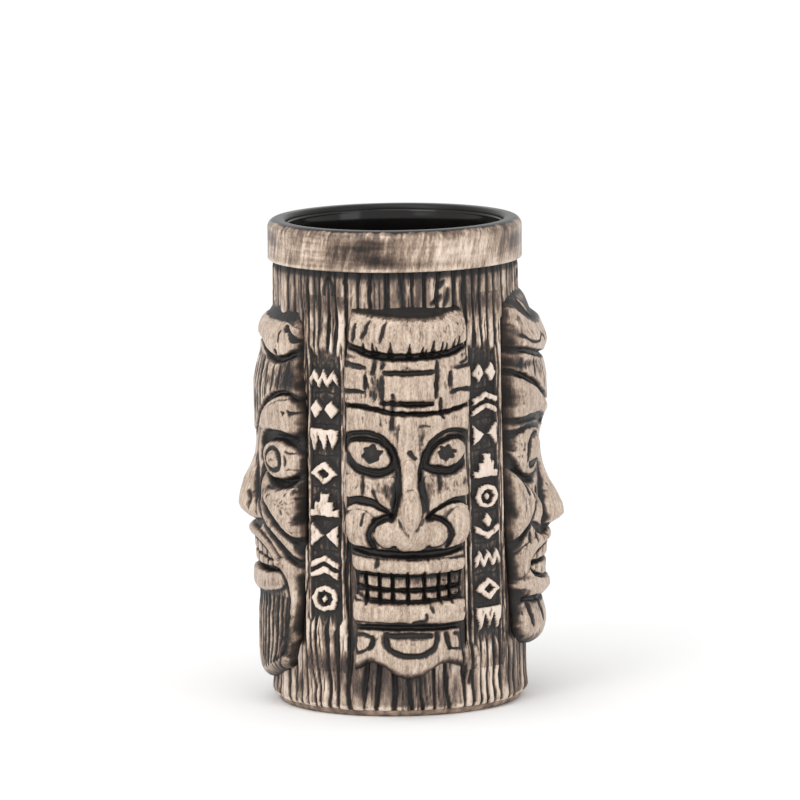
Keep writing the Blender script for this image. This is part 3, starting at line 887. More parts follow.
    # --- jaw band that frames the beard
    F.pillow([(19.6, 47.4), (22.4, 49.2), (26.4, 48.4), (30.2, 45.2), (30.4, 34), (29.2, 25), (27.0, 15), (22, 8.6), (19.6, 16),
              (24.4, 27), (25.2, 35), (23.4, 42)], 1.3, 2.6, ink=0.02, edge_ink=0.0)
    F.groove([(20.8, 46.2), (23.4, 41.8), (25.0, 35.8), (24.8, 27), (22.6, 19), (19.5, 13.5)], 1.0, 0.9, 0.98)
    F.groove([(21.8, 23.6), (23.6, 21.4), (23.0, 18.2)], 1.2, 0.6, 1.05, taper=0.5)
    F.shade(27.6, 22, 2.4, 6, 0.45).shade(29.0, 40, 2, 8, 0.35)
    F.scratches((20, 30, 16, 46), 50, 2.2, 0.30, 0.08, 0.50, lean=0.15, seed=3)
    # --- nose
    prow(F, [(86, 4, 0.0), (83, 4.2, 0.2), (80, 4.8, 0.5), (78.5, 5.2, 0.9), (75, 6.2, 2.4), (72, 7.2, 3.8), (68, 8.2, 4.5),
             (64, 8.8, 4.8), (62.4, 8.6, 4.0), (60.8, 8, 2.1), (59.4, 8, 0.5), (58.2, 8, 0.0)])
    F.dome(9.4, 63.8, 4.2, 4.2, 3.0, 0.8, on=4.6)
    F.groove([(5.4, 68.8), (6.6, 66.0), (5.6, 62.6)], 0.9, 0.5, 0.75, taper=0.7)
    F.shade(4.0, 68.4, 3.6, 1.6, 0.50).shade(3, 61, 5, 1.2, 0.4).shade(7, 76, 1.8, 6, 0.35)
    F.scratches((0, 9, 60, 80), 34, 2.2, 0.26, 0.08, 0.5, lean=0.3, seed=4)
    F.sink([(-1, 59.8), (6, 59.6), (11.4, 60.6), (13.0, 59.6), (10, 57.4), (5, 56.6), (-1, 56.8)], 1.1, 1.12, 0.6)
    # --- mouth
    F.pillow([(-1, 57.0), (6, 57.2), (12, 56.0), (17.6, 52.7), (21.8, 47.4), (20.6, 46.2), (16, 50.6), (11, 53.2), (6, 54.2),
              (-1, 54.4)], 1.3, 1.5, ink=0.05, edge_ink=0.5)
    F.sink([(-1, 54.4), (6, 54.1), (11, 53.0), (15.6, 50.4), (20.0, 46.8), (19.6, 45.0), (14, 43.8), (6, 43.7), (-1, 43.9)],
           1.6, 0.95, 0.45, curved=False)
    gaps = (0.2, 5.4, 9.6, 13.2, 16.4, 19.0)
    for a, b in zip(gaps[:-1], gaps[1:]):
        ta, tb = (np.interp(q, [0, 6, 11, 15.6, 19.8], [53.8, 53.6, 52.4, 50.0, 47.0]) for q in (a, b))
        mid = 49.3 - 0.006 * (a + b) ** 2 * 0.25
        F.raise_([(a + 0.35, mid + 0.3), (b - 0.35, mid + 0.2), (b - 0.35, max(tb - 0.3, mid + 0.5)), (a + 0.35, ta - 0.3)],
                 1.3, 0.42, curved=False, ink=0.42)
        F.raise_([(a + 0.35, 45.4), (b - 0.35, 45.5), (b - 0.35, mid - 0.4), (a + 0.35, mid - 0.4)], 1.3, 0.42,
                 curved=False, ink=0.26)
    F.groove([(-1, 45.0), (8, 44.6), (15, 44.5), (20.2, 45.4)], 1.5, 1.2, 1.12, taper=0.1)
    F.pillow([(-1, 44.0), (6, 43.8), (13, 43.8), (18.6, 44.6), (22.6, 44.4), (23.8, 41.4), (20, 38.8), (13, 37.4), (6, 36.9),
              (-1, 36.8)], 1.1, 2.9, ink=0.34, edge_ink=0.5)
    F.shade(8, 42.0, 6, 1.2, -0.28).shade(19, 39.5, 4, 2.0, 0.25)
    # --- beard
    for i, s in enumerate((0.0, 2.6, 5.2, 7.8, 10.6, 13.4, 16.2, 18.8, 21.2, 23.4)):
        low = 8.5 + 0.010 * s * s
        F.groove([(s, 36.4 - 0.02 * s), (s * 0.99 + 0.3, 27), (s * 0.95, 18), (s * 0.84, low + 3)], 1.0 if i % 3 else 0.6,
                 0.8, 0.92, taper=0.5)
    F.scratches((0, 24, 12, 32), 90, 7.0, 0.36, 0.14, 0.7, lean=0.04, seed=5)
    F.shade(9, 33.5, 13, 3.5, 0.60).shade(9, 22, 14, 11, 0.30).shade(23.5, 28, 1.8, 8, 0.35)
    F.groove(LEFT_SEAM, 1.5, 1.7, 1.15, taper=0.0)
    F.finish(cell, wash=0.0)
    dl, dr = side_gaps(S, U)
    round_sides(F, dl, dr, 2.3, edge=0.26)
    round_end(F, Z - Z[0:1, :], 4.6, ink=0.45)
    return F, S / SQUEEZE_L, Z


def left_crown():
    cell = 0.33
    lw, rw = both([(86, 29.8), (99, 29.8), (103, 29.4), (108, 28.6), (112, 28.6), (115, 29.0), (121, 28.4), (125, 26.8),
                   (129, 25.0)])
    top = [(-26, 127.6), (-20, 128.6), (-10, 129.2), (0, 129.4), (10, 129.2), (20, 128.6), (26, 127.6)]
    S, Z, U, V_ = warp_grid(cell, lw, rw, LEFT_SEAM, top)
    base = soft_profile(Z, [(86, 45.6), (92, 45.7), (103, 45.8), (107, 45.1), (110.7, 44.2), (112.6, 43.5), (115, 43.3),
                            (118.4, 43.0), (121, 42.7), (123.4, 41.8), (125.4, 40.3), (127.2, 39.2), (129.3, 38.8)]) - wall(Z)
    F = Field(S, Z, base, 53, mirror=True)
    # crown block
    F.pillow([(-1, 124.4), (10, 124.6), (18, 124.8), (24, 124.2), (28.2, 122.0), (28.6, 116.4), (25, 114.6), (18, 113.9),
              (12, 114.9), (6, 117.2), (-1, 118.4)], 1.1, 2.6, ink=-0.10)
    F.sink([(22.6, 123.4), (24.6, 123.4), (27.8, 120.6), (28.2, 118.4), (26.6, 119.4), (25.4, 121.4), (23.6, 121.6)], 0.9,
           1.15, 0.35, halo=0.3)
    F.groove([(21.8, 121.8), (20.9, 120.4), (20.8, 118.6)], 0.5, 0.35, 0.9)
    F.groove([(-1, 118.0), (5, 117.0), (10, 115.2), (14, 113.2), (19, 112.4), (24, 113.4), (29, 115.4)], 1.9, 1.7, 1.15, taper=0.1)
    F.sink([(18.3, 115.6), (20.2, 115.2), (19.4, 114.2)], 0.6, 1.1, 0.25)
    F.scratches((0, 27, 115.5, 124), 44, 2.6, 0.22, 0.06, 0.30, lean=0.12, seed=1)
    # band of slats down to the peak over the nose
    for s, w, d in ((3.4, 0.9, 0.5), (7.0, 0.6, 0.3), (10.0, 1.2, 0.7), (14.2, 0.7, 0.3), (18.4, 0.6, 0.3), (22.2, 0.8, 0.4),
                    (26.2, 0.9, 0.5)):
        zb = np.interp(s, [p[0] for p in LEFT_SEAM], [p[1] for p in LEFT_SEAM])
        F.groove([(s, zb + 0.5), (s + 0.3, 0.5 * (zb + 112)), (s - 0.1, 112.4)], w, d, 0.55, taper=0.6)
    F.scratches((0, 28, 94, 112), 120, 4.6, 0.34, 0.10, 0.62, lean=0.04, seed=2)
    F.shade(26.0, 107, 4.2, 8, 0.70).shade(5, 95, 8, 8, 0.42).shade(15, 105, 16, 8, 0.22).shade(9, 110, 4, 5, 0.24)
    # dark shelf on top
    lo = 124.9 + 0.5 * vnoise(S / 0.6, Z * 0 + 3, 91) + 0.9 * vnoise(S / 2.2, Z * 0 + 5, 92) - 0.5 * (np.abs(S) / 28) ** 2
    F.K = np.maximum(F.K, 1.1 * smooth((Z - lo) / 0.9))
    fr = smooth((Z - lo + 1.4 + 2.0 * vnoise(S / 0.4, Z * 0 + 7, 93)) / 1.2)
    F.K = np.maximum(F.K, 0.42 * fr)
    F.groove(LEFT_SEAM, 1.5, 1.7, 1.15, taper=0.0)
    F.finish(cell, wash=0.0)
    dl, dr = side_gaps(S, U)
    round_sides(F, dl, dr, 2.2)
    return F, S / SQUEEZE_L, Z


# ================================================================= right mask
RIGHT_SEAM = [(-30.4, 107.9), (-29, 107.2), (-25, 105.5), (-20, 103.2), (-16, 100.8), (-12, 98.4), (-8, 96.4), (-4, 94.9),
              (0, 94.4), (4, 94.9), (8, 96.4), (12, 98.4), (16, 100.8), (20, 103.2), (25, 105.5), (29, 107.2), (30.4, 107.9)]


def right_face():
    cell = 0.33
    lw, rw = both([(16, 21), (19, 22.6), (24, 23.8), (30, 24.8), (36, 25.8), (49, 27.6), (60, 29.3), (70, 29.8), (85, 29.9),
                   (100, 29.9), (108.5, 29.8)])
    bottom = [(-25, 22.4), (-21, 20.0), (-16, 18.4), (-10, 17.4), (0, 16.4), (10, 17.4), (16, 18.4), (21, 20.0), (25, 22.4)]
    S, Z, U, V_ = warp_grid(cell, lw, rw, bottom, RIGHT_SEAM)
    base = soft_profile(Z, [(16, 44.4), (19, 45.6), (22, 46.7), (24.6, 47.3), (28, 47.0), (31, 46.1), (32.6, 45.9), (34.2, 46.7),
                            (36, 47.8), (39, 47.2), (40.6, 46.7), (43, 47.0), (49, 47.3), (53, 48.5), (55, 47.6), (57, 46.6),
                            (60, 46.0), (66, 45.5), (72, 45.0), (77, 44.8), (84, 45.3), (90, 47.0), (95, 48.2), (104, 47.9),
                            (109, 47.4)]) - wall(Z)
    base = base - 1.8 * (np.abs(S) / 29.9) ** 2.6 - 3.0 * (np.abs(S) / 26) ** 2 * window(Z, 12, 60, 7)
    F = Field(S, Z, base, 67, mirror=True)
    # --- forehead
    F.pillow([(-1, 91.2), (8, 92.2), (14, 94.2), (20, 95.2), (26, 94.6), (29.9, 94.0), (29.9, 106), (26, 104.6), (20, 101.8),
              (14, 98.4), (8, 95.2), (-1, 93.4)], 0.5, 2.4, ink=-0.12)
    F.scratches((2, 28, 92.5, 103), 26, 2.6, 0.22, 0.05, 0.25, lean=0.3, seed=1)
    F.groove([(15.6, 101.4), (15.0, 99.6), (14.9, 98.0)], 0.5, 0.35, 0.8)
    F.shade(30.0, 99, 2.4, 7, 0.30)
    # --- eye socket and heavy lid
    lid = [(8.6, 82), (9.6, 86.0), (12, 87.8), (17, 88.8), (23, 88.8), (28, 87.6), (31.4, 85.6), (31.6, 79.4), (28.6, 76.4),
           (24.6, 74.8), (20, 73.9), (15, 73.6), (11.0, 75.4), (9, 79)]
    F.groove([(31.6, 91.4), (27, 92.2), (22, 92.5), (16.5, 92.4), (12.5, 91.4), (8, 90.0), (3, 88.8)], 2.3, 1.4, 1.05, taper=0.3)
    ix, sd = F.sd(lid, True, 6)
    F.H[ix] -= 1.5 * np.exp(-(np.clip(sd, 0, 9) / 2.3) ** 2)
    F.pillow(lid, 2.7, 7.0, ink=-0.04)
    F.shade(22, 90.6, 8, 1.6, 0.55).shade(12, 88.6, 3.6, 1.6, 0.45).shade(29.0, 84, 2.6, 4.6, 0.62).shade(8, 90, 5, 2.5, 0.3)
    F.scratches((24, 31, 77, 88), 40, 1.0, 0.32, 0.1, 0.7, lean=0.9, seed=12)
    F.pillow([(20.8, 84.0), (17.8, 85.8), (14.2, 84.8), (12.8, 80.6), (13.8, 77.0), (17.2, 75.8), (20.6, 78.0)], 0.9, 2.0,
             ink=-0.20)
    F.groove([(15.4, 87.0), (19.4, 86.8), (21.9, 84.6), (22.4, 81.4), (21.8, 78.2)], 0.75, 0.7, 1.05, taper=0.5)
    F.sink([(20.4, 78.2), (19.8, 76.4), (17.4, 75.4), (15.0, 75.9), (14.2, 77.3), (17.0, 78.6)], 0.9, 1.2, 0.3, halo=0.1)
    F.groove([(31.6, 82.6), (29.8, 79.4), (27.2, 76.2), (23.6, 73.6), (19.6, 72.0), (15.4, 71.6)], 2.3, 1.5, 1.12, taper=0.3)
    F.ridge([(22.0, 76.4), (19.6, 74.6), (16.6, 73.9), (13.6, 74.6), (12.0, 76.4)], 1.1, 0.5, ink=-0.7)
    F.scratches((14, 29, 76, 88), 30, 1.8, 0.26, 0.08, 0.5, lean=0.3, seed=2)
    # --- long cheek panel and its tear cuts
    F.pillow([(31.6, 80.2), (27.4, 76.0), (23.0, 71.8), (18.8, 69.0), (15.8, 66.8), (16.8, 63.8), (20.4, 60.0), (24.4, 56.4),
              (28.6, 52.4), (31.6, 47)], 1.5, 5.0, ink=-0.06)
    F.shade(31.0, 52, 2.4, 9, 0.40).shade(22, 70.0, 4.4, 3.4, 0.30).shade(18, 64, 2.2, 5, 0.30)
    F.groove([(25.4, 73.4), (23.8, 71.0), (22.4, 67.8)], 1.1, 0.8, 1.08, taper=0.6)
    F.groove([(22.2, 72.2), (20.2, 69.4), (18.4, 66.0), (17.8, 64.2)], 1.1, 0.8, 1.08, taper=0.6)
    F.groove([(13.8, 68.0), (16.0, 63.8), (19.6, 59.2), (23.8, 55.4), (28.0, 51.0), (31.4, 45.6)], 2.0, 1.7, 1.12, taper=0.25)
    F.scratches((17, 31, 48, 76), 60, 4.0, 0.32, 0.08, 0.50, lean=0.10, seed=3)
    # --- nose
    prow(F, [(86, 4, 0.0), (83, 4.4, 0.3), (80, 5, 0.9), (78, 5.4, 1.3), (74.5, 6, 1.9), (71.4, 6.8, 2.8), (68.2, 7.8, 4.2),
             (65, 8.8, 5.8), (61.7, 9.6, 7.1), (60, 9.6, 7.3), (58.4, 9.4, 7.1), (56.9, 9, 5.2), (55.6, 8, 2.0), (54.4, 7, 0.0)])
    F.dome(12.4, 60.8, 4.4, 4.8, 3.2, 0.8, on=4.4)
    F.groove([(9.6, 69.0), (10.6, 65.4), (9.8, 61.0), (8.8, 58.6)], 1.0, 0.7, 0.9, taper=0.6)
    F.sink([(7.6, 58.4), (9.6, 59.6), (12.0, 58.4), (10.4, 56.2), (8, 56.4)], 1.2, 1.12, 0.5)
    F.shade(11.8, 68.4, 3.4, 3.6, 0.50).shade(9, 73, 3, 4, 0.26).shade(7.5, 79, 2.4, 5, 0.16)
    F.scratches((0, 12, 57, 80), 40, 2.2, 0.28, 0.08, 0.55, lean=0.3, seed=4)
    F.sink([(6.4, 55.6), (11.4, 56.0), (16.6, 58.0), (19.4, 58.2), (16.6, 54.8), (11.8, 52.8), (8.0, 53.6)], 1.2, 1.12, 0.7)
    # --- mouth ring with two rows of teeth
    F.pillow([(-1, 53.8), (7, 54.0), (14, 53.6), (20, 53.0), (25, 50.6), (28.6, 46.6), (29.4, 42), (27.4, 38), (22, 35.0),
              (15, 33.9), (7, 33.5), (-1, 33.3)], 1.0, 4.0, curved=False, ink=-0.06)
    F.sink([(-1, 50.9), (6, 51.0), (12, 50.5), (17.2, 48.9), (20.8, 46.0), (21.0, 43.4), (18, 40.8), (12.6, 39.2), (6, 38.7),
            (-1, 38.5)], 2.2, 1.02, 0.5, curved=False, halo=0.4)
    for a, b in ((0.3, 5.4), (6.0, 11.2), (11.8, 16.2), (16.8, 19.6)):
        ta, tb = (np.interp(q, [0, 6, 12, 17.2, 20.8], [50.6, 50.6, 49.9, 48.3, 46.2]) for q in (a, b))
        la, lb = (np.interp(q, [0, 6, 12, 17.2, 20.8], [39.1, 39.3, 39.9, 41.4, 43.6]) for q in (a, b))
        F.raise_([(a, 45.9), (b, 45.8), (b, tb - 0.5), (a, ta - 0.5)], 1.6, 0.45, curved=False, ink=0.46)
        F.raise_([(a, la + 0.4), (b, lb + 0.4), (b, 44.4), (a, 44.4)], 1.6, 0.45, curved=False, ink=0.12)
    F.groove([(-1, 45.2), (8, 45.1), (20.4, 45.0)], 0.9, 1.0, 1.18, taper=0.1)
    for g in (9.4, 13.4, 17.4, 21.2):
        F.groove([(g, 55.2), (g + 0.6, 53.4), (g + 0.3, 51.8)], 0.9, 0.5, 0.95, taper=0.6)
    F.scratches((3, 28, 34.0, 54), 80, 1.7, 0.26, 0.07, 0.55, lean=0.9, seed=5)
    F.shade(29.0, 42, 2.4, 7, 0.34).shade(24.5, 50.5, 3, 2, 0.35)
    # --- chin
    F.sink([(21.4, 36.6), (25.6, 37.2), (27.4, 35.0), (25.0, 32.8), (21.6, 32.8), (20.0, 34.4)], 0.9, 0.95, 0.9)
    F.groove([(-1, 32.8), (8, 32.5), (15, 33.0), (22, 33.8)], 1.7, 1.2, 0.95, taper=0.35)
    F.groove([(12.0, 33.2), (11.2, 29.6), (10.0, 25.6)], 1.7, 0.9, 1.12, taper=0.6)
    F.groove([(20.6, 33.4), (19.4, 29.8), (18.2, 25.0)], 2.0, 0.9, 1.12, taper=0.6)
    F.shade(27.0, 29, 3.0, 8, 0.30).shade(17, 31.4, 8, 1.2, 0.3)
    F.scratches((0, 28, 18.5, 31), 56, 2.0, 0.26, 0.07, 0.5, lean=0.4, seed=6)
    F.groove(RIGHT_SEAM, 1.5, 1.7, 1.15, taper=0.0)
    F.finish(cell, wash=0.0)
    dl, dr = side_gaps(S, U)
    round_sides(F, dl, dr, 2.6, edge=0.24)
    round_end(F, Z - Z[0:1, :], 4.2, ink=0.45)
    return F, S / SQUEEZE_R, Z


def right_crown():
    cell = 0.33
    lw, rw = both([(94, 30.0), (108, 29.9), (114, 29.6), (120, 29.4), (127, 28.8), (131, 26.0), (134.5, 20.0)])
    top = [(-27, 129.6), (-23, 131.8), (-17, 133.2), (-8, 134.0), (0, 134.2), (8, 134.0), (17, 133.2), (23, 131.8), (27, 129.6)]
    S, Z, U, V_ = warp_grid(cell, lw, rw, RIGHT_SEAM, top)
    base = soft_profile(Z, [(93, 48.2), (104, 48.0), (107.6, 47.4), (110, 46.8), (112, 47.3), (115, 48.4), (117.6, 48.0),
                            (120, 46.9), (122.5, 45.9), (125, 44.8), (127.6, 43.9), (130, 42.9), (132, 40.8), (134.3, 38.7)]) - wall(Z)
    base = base - 1.1 * (np.abs(S) / 29.9) ** 2.6
    F = Field(S, Z, base, 83, mirror=True)
    edge = [(-1, 122.4), (6, 121.6), (11, 121.0), (16, 121.4), (20, 122.9), (24, 125.6), (27, 127.4), (30, 128.2)]
    lo = np.interp(np.abs(S), [p[0] for p in edge], [p[1] for p in edge])
    rag = 0.30 * vnoise(S / 0.6, Z * 0 + 3.0, 95)
    scoop = smooth((Z - lo) / 3.2)
    F.H -= 2.0 * scoop * smooth((136.5 - Z) / 5)
    F.K = np.maximum(F.K, 1.12 * smooth((Z - lo - rag) / 0.8))
    F.ridge([(19.0, 129.4), (16.0, 127.2), (13.6, 125.0), (12.6, 123.6)], 1.8, 0.5, ink=-0.42)
    F.groove([(27.6, 119.2), (24.6, 117.8), (21.2, 116.6), (17.8, 116.3), (15.2, 117.2), (13.6, 118.6)], 0.75, 0.6, 0.95, taper=0.4)
    F.groove([(13.6, 118.6), (12.2, 117.2), (11.2, 115.8)], 0.7, 0.5, 0.9, taper=0.4)
    F.sink([(9.0, 118.6), (7.0, 117.4), (4.6, 115.0), (4.2, 113.4), (6.6, 115.0), (8.8, 116.6)], 0.8, 1.05, 0.4)
    F.groove([(30, 114.9), (25, 114.3), (20, 113.2), (14, 112.0), (8, 111.0), (-1, 110.4)], 1.9, 1.8, 1.15, taper=0.1)
    F.scratches((1, 29, 113.5, 124), 40, 2.2, 0.22, 0.06, 0.34, lean=0.4, seed=1)
    F.shade(28.8, 119, 2.4, 4.5, 0.35).shade(23, 117.4, 3, 1.6, 0.2)
    # band
    F.scratches((0, 29, 97, 110), 90, 4.2, 0.32, 0.12, 0.52, lean=0.04, seed=2)
    F.groove([(12, 110.5), (11.6, 106), (11.8, 101)], 0.9, 0.4, 0.5, taper=0.6)
    F.groove([(20, 111.6), (19.8, 108.6), (20.2, 105.4)], 0.9, 0.4, 0.5, taper=0.6)
    F.groove([(5, 109.4), (5.2, 103), (4.8, 97.4)], 0.8, 0.4, 0.5, taper=0.6)
    F.shade(28, 109.6, 3, 3.2, 0.6).shade(20, 107.6, 3, 4, 0.18)
    F.groove(RIGHT_SEAM, 1.9, 1.9, 1.15, taper=0.0)
    F.finish(cell, wash=-0.12)
    dl, dr = side_gaps(S, U)
    round_sides(F, dl, dr, 2.4)
    return F, S / SQUEEZE_R, Z


# ================================================================== back mask
BACK_SEAM = [(-19.6, 99.7), (-10, 98.4), (0, 97.6), (10, 98.4), (19.6, 99.7)]


def back_face():
    cell = 0.29
    lw, rw = both([(12, 17.6), (16, 17.4), (24, 16.5), (30, 16.2), (33, 17.4), (44, 17.1), (53, 17.9), (58, 19.0), (72, 19.5),
                   (88, 19.6), (100, 19.6)])
    bottom = [(-17.6, 16), (-9, 14.6), (-4, 13.2), (0, 12.2), (4, 13.2), (9, 14.6), (17.6, 16)]
    S, Z, U, V_ = warp_grid(cell, lw, rw, bottom, BACK_SEAM)
    base = soft_profile(Z, [(12, 45.0), (18, 45.8), (26, 46.2), (30, 45.8), (33, 46.3), (38, 45.6), (48, 45.5), (52, 46.0),
                            (56, 45.5), (64, 46.1), (72, 45.6), (78, 45.1), (88, 45.2), (93, 46.0), (100, 45.9)]) - wall(Z)
    base = base - 1.7 * (np.abs(S) / 19.6) ** 2.4
    F = Field(S, Z, base, 101, mirror=True)
    # heavy brows, oval eyes with a slot pupil
    F.pillow([(2.4, 90.6), (7, 93.6), (13, 94.8), (18.6, 93.4), (19.6, 91.0), (14, 91.4), (8, 90.0), (3.6, 87.4)], 1.0, 1.6,
             ink=-0.1, edge_ink=0.7)
    ball = [(4.6, 83.6), (6.0, 87.2), (10.6, 89.2), (15.4, 88.2), (18.2, 84.6), (17.0, 80.4), (12.4, 77.9), (7.4, 79.0)]
    ix, sd = F.sd(ball, True, 5)
    F.H[ix] -= 1.4 * np.exp(-(np.clip(sd, 0, 9) / 2.0) ** 2)
    F.pillow(ball, 2.4, 5.4, ink=-0.12)
    F.groove(ball, 1.2, 0.9, 1.05, closed=True)
    F.sink([(7.4, 84.4), (11.4, 85.4), (15.4, 84.4), (15.2, 83.2), (11.4, 82.4), (7.6, 83.2)], 0.8, 1.2, 0.3)
    F.groove([(4.2, 89.0), (3.2, 85), (2.7, 79), (3.0, 72), (4.6, 66.4)], 1.3, 1.2, 1.05, taper=0.4)
    F.groove([(19.6, 76.4), (14, 74.6), (9, 75.0), (4.8, 78.2)], 1.3, 1.2, 1.0, taper=0.4)
    # spiral cheeks
    sp = [(14.6 + (4.6 - 0.62 * t) * math.cos(0.9 * t + 2.2), 64.4 + (5.4 - 0.72 * t) * math.sin(0.9 * t + 2.2))
          for t in np.arange(0, 7.2, 0.5)]
    F.dome(14.4, 64.4, 5.2, 6.8, 1.6, 0.8)
    F.groove(sp, 0.95, 0.8, 1.0, taper=0.2)
    # nose
    F.dome(0, 82, 3.4, 17, 1.5, 1.0)
    F.dome(0, 72, 3.8, 12, 3.0, 1.2)
    F.dome(6.6, 61.0, 4.4, 4.8, 4.0, 0.9, on=5.3)
    F.dome(0, 62.0, 7.2, 6.8, 5.4, 1.3, on=5.5)
    F.groove([(4.6, 66.6), (8.2, 66.4), (11.2, 63.4), (11.4, 59.6), (9.6, 56.6)], 1.3, 1.2, 1.05, taper=0.2)
    F.groove([(0, 54.6), (6, 54.7), (12, 55.4), (18.4, 57.2)], 1.8, 1.7, 1.1, taper=0.1)
    F.shade(0, 56.4, 6, 0.9, 0.45)
    # mouth
    F.sink([(-1, 49.2), (8, 49.0), (16.2, 48.4), (15.8, 40.4), (8, 38.6), (-1, 38.2)], 2.2, 0.85, 0.5, curved=False)
    F.pillow([(-1, 53.2), (8, 53.4), (17.6, 53.6), (17.6, 50.0), (12, 49.0), (-1, 48.6)], 1.4, 2.2, curved=False, ink=-0.1,
             edge_ink=0.7)
    F.pillow([(-1, 38.4), (9, 39.0), (17.2, 40.4), (17.4, 33.6), (10, 31.8), (-1, 31.4)], 1.4, 2.6, curved=False, ink=-0.1,
             edge_ink=0.7)
    for a, b in ((0.3, 3.6), (4.1, 7.5), (8.0, 11.3), (11.8, 15.2)):
        F.raise_([(a, 44.6), (b, 44.6), (b, 48.3), (a, 48.4)], 1.2, 0.4, curved=False, ink=0.26)
        F.raise_([(a, 39.4), (b, 39.7), (0.5 * (a + b), 43.8)], 1.2, 0.4, curved=False, ink=0.2)
    F.groove([(0, 44.0), (8, 44.1), (15.8, 44.3)], 0.8, 0.8, 1.1, taper=0.1)
    for g in (0, 3.85, 7.75, 11.55):
        F.groove([(g, 49.0), (g, 44), (g, 39.0)], 0.7, 1.0, 1.1, taper=0.1)
    F.groove([(0, 30.4), (8, 30.5), (16.4, 31.4)], 1.5, 1.4, 1.1, taper=0.1)
    # chin sign: rays over an arc
    F.groove([(10.4, 27.6), (8.8, 23.8), (5.0, 21.0), (0, 20.0)], 1.4, 0.9, 1.1, taper=0.2)
    for s0, z0, s1, z1 in ((0, 22.6, 0, 28.0), (3.6, 23.6, 4.6, 27.8), (13.6, 27.2, 13.2, 21.0)):
        F.groove([(s0, z0), (s1, z1)], 1.2, 0.8, 1.05, curved=False, taper=0.4)
    for i, (bx, n) in enumerate((((-18, 18, 90, 97), 26), ((-18, 18, 56, 78), 60), ((-16, 16, 32, 53), 40),
                                 ((-15, 15, 14, 30), 40))):
        F.scratches((0, bx[1], bx[2], bx[3]), n, 2.4, 0.25, 0.08, 0.42, lean=0.25, seed=i)
    F.groove(BACK_SEAM, 1.4, 1.5, 1.15, taper=0.0)
    F.finish(cell, wash=-0.03)
    dl, dr = side_gaps(S, U)
    round_sides(F, dl, dr, 2.3)
    round_end(F, Z - Z[0:1, :], 2.8, ink=0.65)
    return F, S, Z


def back_crown():
    cell = 0.29
    lw, rw = both([(97, 19.6), (108, 19.7), (112, 19.2), (115, 18.8), (124, 18.8), (131, 18.6)])
    top = [(-18.8, 129.8), (-12, 131.0), (0, 131.4), (12, 131.0), (18.8, 129.8)]
    S, Z, U, V_ = warp_grid(cell, lw, rw, BACK_SEAM, top)
    base = soft_profile(Z, [(97, 45.9), (101, 46.2), (109, 46.2), (111, 45.4), (113, 45.4), (116, 46.4), (120, 46.8),
                            (124, 46.4), (127, 45.2), (129, 42.4), (131.4, 39.2)]) - wall(Z)
    base = base - 1.3 * (np.abs(S) / 19.6) ** 2.4
    F = Field(S, Z, base, 117, mirror=True)
    F.raise_([(-0.1, 101.0), (5.4, 105.0), (-0.1, 109.0), (-5.4, 105.0)], 1.1, 0.4, curved=False, ink=-0.15)
    F.sink([(-0.1, 103.4), (2.2, 105.0), (-0.1, 106.6), (-2.2, 105.0)], 0.8, 1.1, 0.3, curved=False)
    F.groove([(19.6, 103.2), (14, 102.6), (8.2, 102.4)], 0.9, 0.6, 1.0)
    F.groove([(19.6, 108.8), (14, 108.4), (8.2, 108.2)], 0.9, 0.6, 1.0)
    for s in (9.2, 12.4, 15.6, 18.4):
        F.groove([(s, 103.2), (s - 1.4, 105.4), (s, 107.8)], 0.9, 0.7, 1.0, taper=0.3)
    F.groove([(-1, 111.4), (8, 111.8), (14, 112.8), (19.6, 114.6)], 1.8, 2.0, 1.15, taper=0.1)
    for s in (0, 3.2, 6.5, 9.8, 13.0, 16.2):
        F.groove([(s, 113.0 + 0.008 * s * s), (s * 1.02, 119), (s * 1.03, 124.6)], 1.1, 0.8, 1.0, taper=0.8)
    F.K = np.maximum(F.K, 1.1 * smooth((Z - 127.4 - 0.5 * vnoise(S / 0.5, Z * 0 + 2, 131)) / 0.8))
    F.H -= 1.2 * smooth((Z - 127.6) / 2.4)
    F.scratches((0, 18, 99.5, 126), 70, 2.8, 0.25, 0.09, 0.45, lean=0.12, seed=1)
    F.groove(BACK_SEAM, 1.4, 1.5, 1.15, taper=0.0)
    F.finish(cell, wash=-0.03)
    dl, dr = side_gaps(S, U)
    round_sides(F, dl, dr, 2.0)
    return F, S, Z


# ============================================================= columns of marks
STEPS = [[(-5, 0), (5, 0), (5, 2.4), (3.2, 2.4), (3.2, 4.9), (1.6, 4.9), (1.6, 7.6), (-1.6, 7.6),
          (-1.6, 4.9), (-3.2, 4.9), (-3.2, 2.4), (-5, 2.4)]]
CHEVRONS = [[(-5, 0), (0, 2.4), (5, 0), (5, 2.1), (0, 4.5), (-5, 2.1)],
            [(-5, 3.5), (0, 5.9), (5, 3.5), (5, 5.6), (0, 8), (-5, 5.6)]]
LOZENGE = [[(0, 0), (5, 4), (0, 8), (-5, 4)], [(0, 2.3), (-2.2, 4), (0, 5.7), (2.2, 4)]]
RIPPLE = [[(-5, 0.8), (-3.3, 3.6), (-1.7, 0.8), (0, 3.6), (1.7, 0.8), (3.3, 3.6), (5, 0.8), (5, 3.8),
           (3.3, 6.8), (1.7, 3.8), (0, 6.8), (-1.7, 3.8), (-3.3, 6.8), (-5, 3.8)]]
SUN = [[(4.6, 4), (3.3, 7), (0, 8.2), (-3.3, 7), (-4.6, 4), (-3.3, 1), (0, -0.2), (3.3, 1)],
       [(2.8, 4), (2, 5.8), (0, 6.5), (-2, 5.8), (-2.8, 4), (-2, 2.2), (0, 1.5), (2, 2.2)],
       [(0, 2.7), (1.2, 4), (0, 5.3), (-1.2, 4)]]
WINGS = [[(-5, 0.4), (-0.4, 4), (-5, 7.6)], [(5, 0.4), (5, 7.6), (0.4, 4)]]
